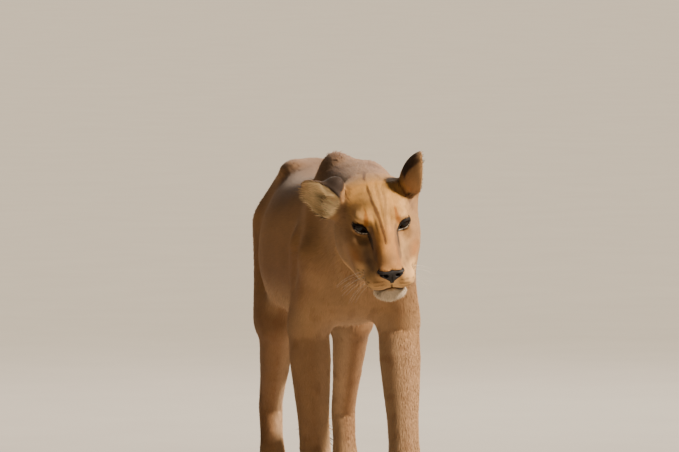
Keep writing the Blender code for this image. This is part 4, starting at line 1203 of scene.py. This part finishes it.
# eyes
def buildEye(side, material, gaze):
    rings, around = 48, 64
    radius, iris, pupil = eyes["radius"], eyes["iris"], eyes["pupil"]
    ahead = unit(np.asarray(gaze))
    across = unit(np.cross((0, 0, 1.0), ahead))
    up = np.cross(ahead, across)
    # the pole in front, the rings from there back, and the pole behind
    ring = np.concatenate(((0,), np.repeat(np.arange(1, rings), around), (rings,)))
    turn = 2 * math.pi * np.concatenate(((0,), np.tile(np.arange(around), rings - 1), (0,))) / around
    angle, turn = math.pi * ring[:, None] / rings, turn[:, None]
    front = angle < math.pi / 2
    swell = eyes["bulge"] * np.maximum(0.0, 1 - (np.sin(angle) / (iris / radius)) ** 2) * front
    way = np.cos(angle) * ahead + np.sin(angle) * (np.cos(turn) * across + np.sin(turn) * up)
    points = fromHead(eyeCentre(side)) + way * (radius + swell)
    away = np.where(front, radius * np.sin(angle), 1.0)
    streak = 0.5 + 0.5 * np.sin(turn * 23 + 2 * np.sin(turn * 7))
    # the iris: amber painted dark with shade, lighter towards its rim
    colour = srgb(*eyes["shadedAmber"]) * (0.75 + 0.35 * streak) * (0.55 + 0.6 * away / iris)
    edges = (("rim", iris - 0.0016, iris), ("black", pupil, pupil - 0.0006), ("white", iris, iris + 0.0012))
    for tone, start, end in edges:
        share = ramp(start, end, away)
        colour = colour * (1 - share) + srgb(*eyes[tone]) * share

    def spot(r, k):
        return 0 if r == 0 else len(points) - 1 if r == rings else 1 + (r - 1) * around + k % around

    faces = []
    for r in range(rings):
        for k in range(around):
            corner = (spot(r, k), spot(r + 1, k), spot(r + 1, k + 1), spot(r, k + 1))
            faces.append(list(dict.fromkeys(corner)))  # three corners at the poles
    made = meshPiece("eyeball_left" if side > 0 else "eyeball_right", points, faces, material)
    made.data.shade_smooth()
    paint(made.data, "eyeColour", colour)
    return made


# the bare leather of the nose
def leatherBack(side):  # how far back the leather reaches, less at the wings
    return nose["back"] + 0.015 * ramp(0.020, 0.033, side)


def noseDistance(local):
    distance = headDistance(local) - nose["proud"]
    x, y, z = local.T
    distance = distance + 0.0022 * bump(x, 0.0, 0.0013) * ramp(-0.056, -0.066, z)  # the cleft
    for s in (-1, 1):
        for (across, ahead, up), radii, deep, soft in nose["hollows"]:
            hole = np.linalg.norm((local - (s * across, ahead, up)) / radii, axis=1)
            distance = smoothMax(distance, -(hole - 1) * deep, soft)
    distance = smoothMax(distance, outlineDistance(x, z, leatherOutline), 0.0016)
    return np.maximum(distance, leatherBack(np.abs(x)) - y)


def buildNose(material):
    points, quads = wrap(noseDistance, nose["low"], nose["high"], nose["cell"])
    points = settle(noseDistance, points, 1, 0.0002)
    made = meshPiece("nose_leather", fromHead(points), quads[:, ::-1], material)
    made.data.shade_smooth()
    return made


# camera, floor and lights
view = {
    "azimuth": -8.5,  # degrees, from straight ahead of her
    "elevation": 3,
    "away": 24.0,
    "lens": 508.97,  # mm, before a sensor 36 mm wide
    "left": 0.10675,  # from the point between the eyes to the middle of the view
    "up": 0.0025,
}
studio = {
    "floor": (0.43, 0.39, 0.34),
    "dim": ((0.90, 0.94, 1.0, 1), 0.05),  # light from all round: colour and strength
    "pale": ((0.92, 0.87, 0.80, 1), 0.75),  # what is seen behind her
    "key": {"energy": 10.0, "angle": math.radians(8), "color": (1.0, 0.88, 0.72)},
    "keyFrom": (4.4, -2.1, 4.0),  # low, and from her left
    "rim": {"energy": 120, "shape": "DISK", "size": 2.0, "color": (1.0, 0.97, 0.92)},
    "rimAt": (1.5, 4.0, 3.5),
    "rimTo": (0, 0.2, 0.6),
}


def placeCamera(target):
    turn, lift = math.radians(view["azimuth"]), math.radians(view["elevation"])
    back = Vector((math.sin(turn) * math.cos(lift), -math.cos(turn) * math.cos(lift), math.sin(lift)))
    right = Vector((math.cos(turn), math.sin(turn), 0))
    data = bpy.data.cameras.new("camera")
    data.lens, data.sensor_width, data.clip_end = view["lens"], 36, 200
    made = bpy.data.objects.new("camera", data)
    aim = Vector(target) - right * view["left"] + back.cross(right) * view["up"]
    made.location = aim + back * view["away"]
    made.rotation_euler = back.to_track_quat("Z", "Y").to_euler()
    bpy.context.collection.objects.link(made)
    bpy.context.scene.camera = made
    return back


def addLight(name, kind, spot, target):
    data = bpy.data.lights.new(name, kind)
    for key, value in studio[name].items():
        setattr(data, key, value)
    made = bpy.data.objects.new(name, data)
    made.location = spot
    made.rotation_euler = (Vector(spot) - Vector(target)).to_track_quat("Z", "Y").to_euler()
    bpy.context.collection.objects.link(made)


def buildStudio():
    half = 60.0
    corners = [(-half, -half, 0), (half, -half, 0), (half, half, 0), (-half, half, 0)]
    pale = plainMaterial("pale floor", studio["floor"], 0.9, 3.0)
    floor = meshPiece("floor", corners, [(0, 1, 2, 3)], pale)
    world = bpy.data.worlds.new("studio")
    bpy.context.scene.world = world
    world.use_nodes = True
    nodes, links = world.node_tree.nodes, world.node_tree.links
    mix = nodes.new("ShaderNodeMixShader")
    links.new(nodes.new("ShaderNodeLightPath").outputs["Is Camera Ray"], mix.inputs[0])
    sources = (nodes["Background"], "dim"), (nodes.new("ShaderNodeBackground"), "pale")
    for number, (source, name) in enumerate(sources, 1):
        for socket, value in zip(("Color", "Strength"), studio[name]):
            source.inputs[socket].default_value = value
        links.new(source.outputs[0], mix.inputs[number])
    links.new(mix.outputs[0], nodes["World Output"].inputs[0])
    addLight("key", "SUN", studio["keyFrom"], (0, 0, 0))
    addLight("rim", "AREA", studio["rimAt"], studio["rimTo"])


# the coat
hair = {
    "seed": 20,
    "patch": 0.003,  # side of a tuft's patch on the unwrap
    "sway": 0.16,  # how far tufts stray from the lie, radians
    "spread": 0.30,  # share by which their lengths differ
    "lift": (0.40, 0.85),  # of their tips, as a share of the coat's depth
    "steepest": 0.6,  # climb of a tuft as a share of its length
    "roundness": 0.7,  # how far its shading turns to its sides
}
# what the hair is like in each place: length, width and number to a square metre
places = {
    "face": (0.0060, 0.0012, 330000),
    "cheek": (0.0120, 0.0018, 150000),
    "ear": (0.0070, 0.0013, 220000),
    "body": (0.0190, 0.0022, 98000),
    "legs": (0.0120, 0.0018, 130000),
    "feet": (0.0070, 0.0014, 190000),
    "tail": (0.0130, 0.0020, 80000),
}


# in the order of the regions' numbers in hairOf
coatPieces = (
    "face", "neck_left", "neck_right", "trunk_left", "trunk_right", "rump_left", "rump_right",
    "forelegs", "hind_legs", "tail", "head",
)


def unwrap(made):  # one unwrap of the skin's own shape
    bpy.context.view_layer.objects.active = made
    made.select_set(True)
    bpy.ops.object.mode_set(mode="EDIT")
    bpy.ops.mesh.select_all(action="SELECT")
    bpy.ops.uv.smart_project(angle_limit=math.radians(70), island_margin=0.004)
    bpy.ops.object.mode_set(mode="OBJECT")
    made.select_set(False)
    return rowsOf(made.data.uv_layers.active.data, "uv", 2)


def hairOf(points):  # length, width and density of the hair at each point, and the region it belongs to
    x, y, z = points.T
    shape, lay = layers(places, "body", len(points))
    region = np.where(y < -0.30, 1, np.where(y < 0.16, 3, 5)) + (x < 0)
    lay("legs", ramp(0.62, 0.48, z))
    lay("feet", ramp(0.15, 0.08, z))
    region = np.where(z < 0.44, np.where(y < 0, 7, 8), region)
    share, away = tailShare(points)
    onTail = (share > 1.2) & (away < 0.06)
    lay("tail", onTail.astype(float))
    region = np.where(onTail, 9, region)
    local = toHead(points)
    near = headAway(local)
    onHead = ramp(0.235, 0.190, near)
    lay("cheek", onHead)
    lay("face", onHead * ramp(-0.05, 0.01, local[:, 1] - 0.5 * np.abs(local[:, 0]) + 0.03))
    for side in (-1, 1):
        lay("ear", earShare(local, side)[2])
    region = np.where(near < 0.200, np.where(local[:, 1] > 0.0, 0, 10), region)
    return shape, region


class Skin:  # what the tufts need to know of the skin
    def __init__(self, made, unwrapped):
        mesh = made.data
        mesh.calc_loop_triangles()
        self.points, self.normals = coordinates(mesh), normals(mesh)
        self.corner = rowsOf(mesh.loop_triangles, "vertices", kind=np.int32)
        self.uv = unwrapped[rowsOf(mesh.loop_triangles, "loops", kind=np.int32)]
        a, b, c = (self.points[self.corner[:, k]] for k in range(3))
        self.area = np.linalg.norm(np.cross(b - a, c - a), axis=1) / 2
        self.middle = (a + b + c) / 3
        self.tree = BVHTree.FromPolygons(self.points.tolist(), self.corner.tolist(), all_triangles=True)

    def scatter(self, wanted, random):  # wanted: tufts to each triangle on average
        total = np.cumsum(wanted)
        count = int(total[-1])
        picks = (np.arange(count) + random.random(count)) * (total[-1] / count)
        face = np.minimum(np.searchsorted(total, picks), len(total) - 1)
        r, s = np.sqrt(random.random(count)), random.random(count)
        weights = np.stack((1 - r, r * (1 - s), r * s), axis=1)[:, :, None]
        corner = self.corner[face]
        root = (self.points[corner] * weights).sum(axis=1)
        normal = unit((self.normals[corner] * weights).sum(axis=1))
        return {"root": root, "normal": normal, "unwrapped": (self.uv[face] * weights).sum(axis=1)}

    def nearest(self, points):
        found = [self.tree.find_nearest(p) for p in points.tolist()]
        return np.array([f[0] for f in found]), np.array([f[1] for f in found])

    def above(self, points, height):  # the same places, held a height above the skin
        spot, normal = self.nearest(points)
        return spot + normal * height[:, None]

    def keepOut(self, points, height):  # the same places, lifted where they sink below a height
        spot, normal = self.nearest(points)
        sunk = np.maximum(height - ((points - spot) * normal).sum(axis=1), 0)
        return points + normal * np.where(sunk < 0.03, sunk, 0)[:, None]


def bulkMesh(name, points, triangles, patch, colours, facing, material):
    mesh = bpy.data.meshes.new(name)
    mesh.vertices.add(len(points))
    mesh.vertices.foreach_set("co", points.ravel())
    mesh.loops.add(triangles.size)
    mesh.loops.foreach_set("vertex_index", triangles.ravel())
    mesh.polygons.add(len(triangles))
    mesh.polygons.foreach_set("loop_start", np.arange(0, triangles.size, 3))
    layer = mesh.uv_layers.new(name="OFBake")
    mesh.update(calc_edges=True)
    layer.data.foreach_set("uv", patch[triangles.ravel()].ravel())
    paint(mesh, "coatColour", colours)
    mesh.shade_smooth()
    mesh.normals_split_custom_set_from_vertices(facing)  # light falls on the coat as on one surface
    mesh.materials.append(material)
    made = bpy.data.objects.new(name, mesh)
    bpy.context.collection.objects.link(made)
    print(f"{name}: {len(triangles)} triangles")
    return made


# tufts: points as across, share of the length and up, in widths; and faces, all closed
shortShape = {
    "points": ((-0.5, 0.0, 0.0), (0.5, 0.0, 0.0), (0.0, 0.12, 0.30), (0.0, 1.0, 0.0)),
    "faces": ((0, 1, 2), (0, 2, 3), (2, 1, 3), (1, 0, 3)),
    "tips": 1.12,  # how much lighter they are than the roots
}
longShape = {
    "points": (
        (-0.5, 0.0, 0.0), (0.5, 0.0, 0.0), (0.0, 0.0, 0.5),
        (-0.42, 0.5, 0.0), (0.42, 0.5, 0.0), (0.0, 0.5, 0.4), (0.0, 1.0, 0.0),
    ),
    "faces": (
        (0, 1, 2), (0, 5, 3), (0, 2, 5), (2, 4, 5), (2, 1, 4),
        (1, 3, 4), (1, 0, 3), (3, 5, 6), (5, 4, 6), (4, 3, 6),
    ),
    "tips": 1.20,
}


def tuftPiece(name, tufts, line, shape, material):  # line: each tuft's middle at each share of its length
    form, normal, width = np.array(shape["points"]), tufts["normal"], tufts["width"]
    across = unit(np.cross(tufts["way"], normal))
    points = np.stack([
        line[share] + across * (width * sideways)[:, None] + normal * (width * upward)[:, None]
        for sideways, share, upward in form
    ], axis=1)
    patch = tufts["unwrapped"][:, None] + (form[:, :2] - (0, 0.5))[None] * hair["patch"]
    tone = 1 + (form[:, 1] - 0.3) * (shape["tips"] - 1)
    colour = tufts["colour"][:, None] * tone[None, :, None]
    facing = unit(normal[:, None] + across[:, None] * form[None, :, :1] * hair["roundness"])
    triangles = np.array(shape["faces"])[None] + (np.arange(len(across)) * len(form))[:, None, None]
    columns = (values.reshape(-1, values.shape[-1]) for values in (points, triangles, patch, colour, facing))
    return bulkMesh(name, *columns, material)


def growShort(name, skin, tufts, material):
    root, length = tufts["root"], tufts["length"]
    tip = skin.above(root + tufts["way"] * length[:, None], tufts["lift"])
    climb = np.maximum(((tip - root) * tufts["normal"]).sum(axis=1), 0)
    fits = climb < hair["steepest"] * length  # a tuft that would stand up in a crease is left out
    tufts = {key: values[fits] for key, values in tufts.items()}
    climb, line = climb[fits], {}
    for share in np.unique(np.array(shortShape["points"])[:, 1]):
        rise = climb * share - tufts["width"] * 0.15  # its root is sunk in the skin
        ahead = tufts["way"] * (tufts["length"] * share)[:, None]
        line[share] = tufts["root"] + ahead + tufts["normal"] * rise[:, None]
    line[1.0] = tip[fits]
    return tuftPiece(name, tufts, line, shortShape, material)


def growLong(name, skin, tufts, material):
    start, line = unit(tufts["way"] + tufts["normal"] * tufts["rise"][:, None]), {}
    for share in np.unique(np.array(longShape["points"])[:, 1]):
        spot = tufts["root"] + start * (tufts["length"] * share)[:, None]
        spot = spot - (0, 0, 1) * (tufts["length"] * tufts["droop"] * share**2)[:, None]
        line[share] = spot if share < 0.2 else skin.keepOut(spot, tufts["width"] * 0.6)
    return tuftPiece(name, tufts, line, longShape, material)


def turned(way, normal, angle):
    return way * np.cos(angle)[:, None] + np.cross(normal, way) * np.sin(angle)[:, None]


def bareSkin(points):  # where no hair grows: eyes, nose, lips and soles
    bare, local = points[:, 2] < soleLevel + 0.0035, toHead(points)
    x, y, z = local.T
    for side in (-1, 1):
        edge, u, v, w = slitDistance(local, side)
        bare |= (edge < 0.0022) & (w > -0.004) & (np.abs(u) < 0.03) & (np.abs(v) < 0.03)
    bare |= (outlineDistance(x, z, leatherOutline) < 0.0) & (y > leatherBack(np.abs(x)) - 0.003)
    lip = np.abs(z - lipHeight(x, y)) < 0.0034
    return bare | lip & (y > 0.03) & (np.linalg.norm(local, axis=1) < 0.25)


def buildCoat(skin, material):
    random = np.random.default_rng(hair["seed"])
    shape, region = hairOf(skin.middle)
    wanted = np.where(bareSkin(skin.middle), 0, shape[:, 2] * skin.area)
    made = []
    for number, name in enumerate(coatPieces):
        tufts = skin.scatter(np.where(region == number, wanted, 0), random)
        root, normal = tufts["root"], tufts["normal"]
        (long, wide, _), count = hairOf(root)[0].T, len(root)
        drift = cloud(root, 0.035, 21) * 0.16 + random.normal(0, hair["sway"], count)
        tufts["way"] = turned(lieOf(root, normal), normal, drift)
        tufts["length"] = long * (1 + hair["spread"] * random.normal(0, 1, count).clip(-1.6, 1.6))
        tufts["width"] = wide * random.uniform(0.8, 1.2, count)
        tufts["lift"] = coatDepth(root) * random.uniform(*hair["lift"], count)
        light = 1 + 0.06 * random.normal(0, 1, count) + 0.07 * cloud(root, 0.011, 31)
        tufts["colour"] = coatColour(root, normal) * light[:, None]
        made.append(growShort(f"coat_{name}", skin, tufts, material))
    return made


# longer hair, by place: length, width, number to a square metre, rise off the skin, droop
fringes = {
    "chin": (0.0125, 0.0016, 260000, 0.12, 0.22),
    "nape": (0.027, 0.0026, 30000, 0.20, 0.06),
    "throat": (0.024, 0.0026, 34000, 0.16, 0.20),
    "ruff": (0.019, 0.0022, 50000, 0.14, 0.08),
    "ears": (0.024, 0.0017, 120000, 0.22, 0.02),
    "belly": (0.022, 0.0028, 34000, 0.20, 0.30),
    "elbows": (0.019, 0.0026, 36000, 0.16, 0.20),
    "haunches": (0.022, 0.0028, 30000, 0.20, 0.15),
    "tailTuft": (0.062, 0.0036, 110000, 0.25, 0.10),
}


def fringeShares(points):  # how much of each fringe belongs at each point
    x, y, z = points.T
    local = toHead(points)
    side, fore, up = np.abs(local[:, 0]), local[:, 1], local[:, 2]
    near = headAway(local)
    onHead = near < 0.20
    shares = {
        "chin": onHead * ramp(-0.120, -0.128, up) * ramp(0.035, 0.060, fore) * ramp(0.045, 0.032, side),
        "throat": (y < -0.50) * (fore < 0.0) * ramp(0.16, 0.20, near) * ramp(0.76, 0.70, z),
        "nape": (near > 0.15) * ramp(-0.62, -0.56, y) * ramp(-0.22, -0.34, y) * ramp(0.83, 0.87, z),
        "ruff": onHead * ramp(-0.045, -0.080, fore) * ramp(0.0, -0.03, up) * ramp(0.045, 0.065, side),
        "belly": ramp(0.58, 0.52, z) * (z > 0.46) * ramp(-0.24, -0.16, y) * ramp(0.26, 0.18, y),
    }
    shares["throat"] = shares["throat"] * ramp(0.50, 0.56, z) * ramp(0.090, 0.060, np.abs(x))
    shares["nape"] = shares["nape"] * ramp(0.075, 0.045, np.abs(x))
    share, away = tailShare(points)
    shares["tailTuft"] = ramp(6.8, 7.3, share) * (away < 0.05)
    shares["elbows"], shares["haunches"], shares["ears"] = np.zeros((3, len(points)))
    for s in (-1, 1):
        elbow, ischium = forelegs[s]["elbow"], hindLegs[s]["ischium"]
        fromElbow = np.linalg.norm(points - offset(elbow, y=0.050, z=0.020), axis=1)
        shares["elbows"] += bump(fromElbow, 0, 0.045) * (y > elbow[1] + 0.02)
        fromHaunch = np.linalg.norm((points - offset(ischium, y=0.03, z=-0.15)) * (1, 1, 0.45), axis=1)
        shares["haunches"] += bump(fromHaunch, 0, 0.055)
        across, along, on, _ = earShare(local, s)
        edge = ramp(0.012, 0.034, np.abs(across)) * ramp(0.02, 0.05, along) + bump(along, 0.045, 0.045) * 0.5
        inner = earBowl(local, s)[1] < -0.0012
        shares["ears"] += on * inner * np.clip(edge, 0, 1) * ramp(0.010, 0.024, along)
    return shares


def buildFringes(skin, material):
    random = np.random.default_rng(hair["seed"] + 1)
    made, shares = [], fringeShares(skin.middle)
    for name, (length, width, number, rise, droop) in fringes.items():
        tufts = skin.scatter(shares[name] * skin.area * number, random)
        root, normal = tufts["root"], tufts["normal"]
        count = len(root)
        drift = cloud(root, 0.020, 22) * 0.30 + random.normal(0, 0.22, count)
        tufts["way"] = turned(lieOf(root, normal), normal, drift)
        tufts["length"] = length * random.uniform(0.65, 1.20, count)
        if name == "ears":  # shorter on the ear that stands up
            tufts["length"] *= np.where(root[:, 0] > 0, 0.55, 1.0)
        tufts["width"] = width * random.uniform(0.75, 1.2, count)
        light = 1 + 0.10 * random.normal(0, 1, count).clip(-2, 2) + 0.12 * cloud(root, 0.008, 33)
        tufts["rise"] = rise * random.uniform(0.4, 1.5, count)
        tufts["droop"] = droop * random.uniform(0.5, 1.4, count)
        tufts["colour"] = coatColour(root, normal) * light[:, None]
        made.append(growLong(f"long_hair_{name}", skin, tufts, material))
    return made


# whiskers and claws: tapered stems set on points
stems = {
    "whiskers": {"Thickness": 0.0017, "Bend": 0.16, "Flatness": 1.0, "Taper": 0.80, "Steps": 9, "Sides": 5},
    "claws": {"Thickness": 0.17, "Bend": 0.42, "Flatness": 0.62, "Taper": 0.97, "Steps": 10, "Sides": 8},
}


def stemTree(name, material):  # each point's stem points along "aim" and is "reach" long
    tree = bpy.data.node_groups.new(name, "GeometryNodeTree")
    tree.interface.new_socket("Geometry", in_out="INPUT", socket_type="NodeSocketGeometry")
    tree.interface.new_socket("Geometry", in_out="OUTPUT", socket_type="NodeSocketGeometry")
    for key in ("Thickness", "Bend", "Flatness", "Taper"):
        tree.interface.new_socket(key, in_out="INPUT", socket_type="NodeSocketFloat")
    for key in ("Steps", "Sides"):
        tree.interface.new_socket(key, in_out="INPUT", socket_type="NodeSocketInt")

    def node(kind, settings=None, **inputs):
        made = tree.nodes.new(kind)
        for key, value in (settings or {}).items():
            setattr(made, key, value)
        for key, value in inputs.items():
            socket = made.inputs[int(key[1:])] if key[1:].isdigit() else made.inputs[key.replace("_", " ")]
            if isinstance(value, bpy.types.NodeSocket):
                tree.links.new(value, socket)
            else:
                socket.default_value = value
        return made.outputs[0] if made.outputs else made

    def maths(operation, a, b):
        return node("ShaderNodeMath", {"operation": operation}, i0=a, i1=b)

    def vector(**parts):
        return node("ShaderNodeCombineXYZ", None, **parts)

    given = tree.nodes.new("NodeGroupInput").outputs
    middle = vector(Y=maths("MULTIPLY", given["Bend"], 0.10), Z=0.55)
    end = vector(Y=maths("MULTIPLY", given["Bend"], -1.0), Z=1.0)
    line = node("GeometryNodeCurveQuadraticBezier", None, Resolution=given["Steps"],
                Start=(0, 0, 0), Middle=middle, End=end)
    lost = maths("MULTIPLY", node("GeometryNodeSplineParameter"), given["Taper"])
    line = node("GeometryNodeSetCurveRadius", None, Curve=line, Radius=maths("SUBTRACT", 1.0, lost))
    ring = node("GeometryNodeCurvePrimitiveCircle", None,
                Resolution=given["Sides"], Radius=given["Thickness"])
    ring = node("GeometryNodeTransform", None, Geometry=ring, Scale=vector(X=given["Flatness"], Y=1.0, Z=1.0))
    stem = node("GeometryNodeCurveToMesh", None, Curve=line, Profile_Curve=ring, Fill_Caps=True)
    aim = node("GeometryNodeInputNamedAttribute", {"data_type": "FLOAT_VECTOR"}, Name="aim")
    reach = node("GeometryNodeInputNamedAttribute", {"data_type": "FLOAT"}, Name="reach")
    turn = node("FunctionNodeAlignRotationToVector", {"axis": "Z"}, Vector=aim)
    upright = {"axis": "Y", "pivot_axis": "Z"}
    turn = node("FunctionNodeAlignRotationToVector", upright, Rotation=turn, Vector=(0, 0, 1))
    placed = node("GeometryNodeInstanceOnPoints", None, Points=given["Geometry"], Instance=stem,
                  Rotation=turn, Scale=reach)
    whole = node("GeometryNodeRealizeInstances", None, Geometry=placed)
    whole = node("GeometryNodeSetShadeSmooth", None, Geometry=whole)
    whole = node("GeometryNodeSetMaterial", None, Geometry=whole, Material=material)
    tree.links.new(whole, tree.nodes.new("NodeGroupOutput").inputs[0])
    return tree


def growStems(name, spots, aims, reaches, material):
    made = meshPiece(name, spots, [])
    layer = made.data.attributes.new("aim", "FLOAT_VECTOR", "POINT")
    layer.data.foreach_set("vector", np.array(aims, np.float32).ravel())
    layer = made.data.attributes.new("reach", "FLOAT", "POINT")
    layer.data.foreach_set("value", np.array(reaches, np.float32))
    tree = stemTree(name, material)
    modifier = made.modifiers.new("stems", "NODES")
    modifier.node_group = tree
    for item in tree.interface.items_tree:
        if item.in_out == "INPUT" and item.name in stems[name]:
            modifier[item.identifier] = stems[name][item.name]
    whole = bpy.data.meshes.new_from_object(made.evaluated_get(bpy.context.evaluated_depsgraph_get()))
    made.modifiers.clear()
    made.data = whole
    print(f"{name}: {len(spots)} stems, {len(whole.polygons)} faces")
    return made


def buildWhiskers(skin, material):
    random = np.random.default_rng(4)
    spots, aims, reaches = [], [], []
    for side in (-1, 1):
        for row, (height, count) in enumerate(whiskerPad["rows"]):
            for k in range(1, count):
                y, z = whiskerSpot(height, row, k)
                spot, _ = skin.nearest(fromHead([(side * 0.062, y + 0.006, z)]))
                spots.append(spot[0])
                aim = (side * 0.80, 0.30 - 0.26 * k, -0.45 - 0.12 * row + 0.1 * random.normal())
                aims.append(headTurn @ unit(np.array(aim)))
                reaches.append((0.044 + 0.011 * k) * random.uniform(0.8, 1.1))
    return growStems("whiskers", np.array(spots), aims, reaches, material)


def buildClaws(material):
    spots, aims, reaches = [], [], []
    for legs, size in ((forelegs, 1.0), (hindLegs, 0.90)):
        for side in (-1, 1):
            x, y, _ = legs[side]["knuckle"]
            for rank in toeRanks:
                back = 0.008 * (abs(rank) - 0.5)
                spots.append((x + rank * 0.0260 * size, y - (0.082 + 0.011) * size + back, 0.0275))
                aims.append(unit(np.array((0.04 * rank, -1.0, -0.38))))
                reaches.append(0.0150 * size)
            if legs is forelegs:
                wrist = legs[side]["wrist"]
                spots.append(offset(wrist, x=-side * 0.043, y=-0.010, z=-0.066))
                aims.append(unit(np.array((-side * 0.25, -0.75, -0.75))))
                reaches.append(0.0150)
    return growStems("claws", np.array(spots), aims, reaches, material)


# all of it
def moveTo(made, shift):
    made.data.transform(Matrix.Translation(shift))
    made.data.update()


eyeNodes = ("eye_left", "eye_right")
eyeMiddle = sum((sum(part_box(name), Vector()) for name in eyeNodes), Vector()) / 4
shift = eyeMiddle - Vector(fromHead((0, -eyes["setBack"], 0)))
print("shift to the frame:", tuple(round(v, 5) for v in shift))

ahead = placeCamera(Vector(headMiddle) + shift)
skin = buildSkin()
paint(skin.data, "coatColour", coatColour(coordinates(skin.data), normals(skin.data)))
skin.data.materials.append(hairMaterial("skin under the coat", 260.0, 0.0012))
print("skin painted")
eyeSurface = eyeMaterial()
gaze = unit(np.array(ahead)) * 0.62 + headTurn @ (0, 0.38, 0)
eyeballs = [buildEye(side, eyeSurface, gaze) for side in (1, -1)]
leather = buildNose(leatherMaterial())
print("eyes and nose built")
hairSurface = hairMaterial("hair", 420.0, 0.0004)
ground = Skin(skin, unwrap(skin))
pelt = buildCoat(ground, hairSurface)
print("short coat grown")
longHair = buildFringes(ground, hairSurface)
whiskers = buildWhiskers(ground, plainMaterial("whisker", (0.66, 0.60, 0.50), 0.35, 300.0))
claws = buildClaws(plainMaterial("claw horn", (0.16, 0.12, 0.085), 0.30, 260.0))
print("long hair, whiskers and claws grown")

for made in (skin, leather, *eyeballs, *pelt, *longHair, whiskers, claws):
    moveTo(made, shift)
    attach(made, "root")
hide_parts(*fleshNodes)
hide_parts("nose")
for made, name in zip(eyeballs, eyeNodes):
    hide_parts(name)
buildStudio()
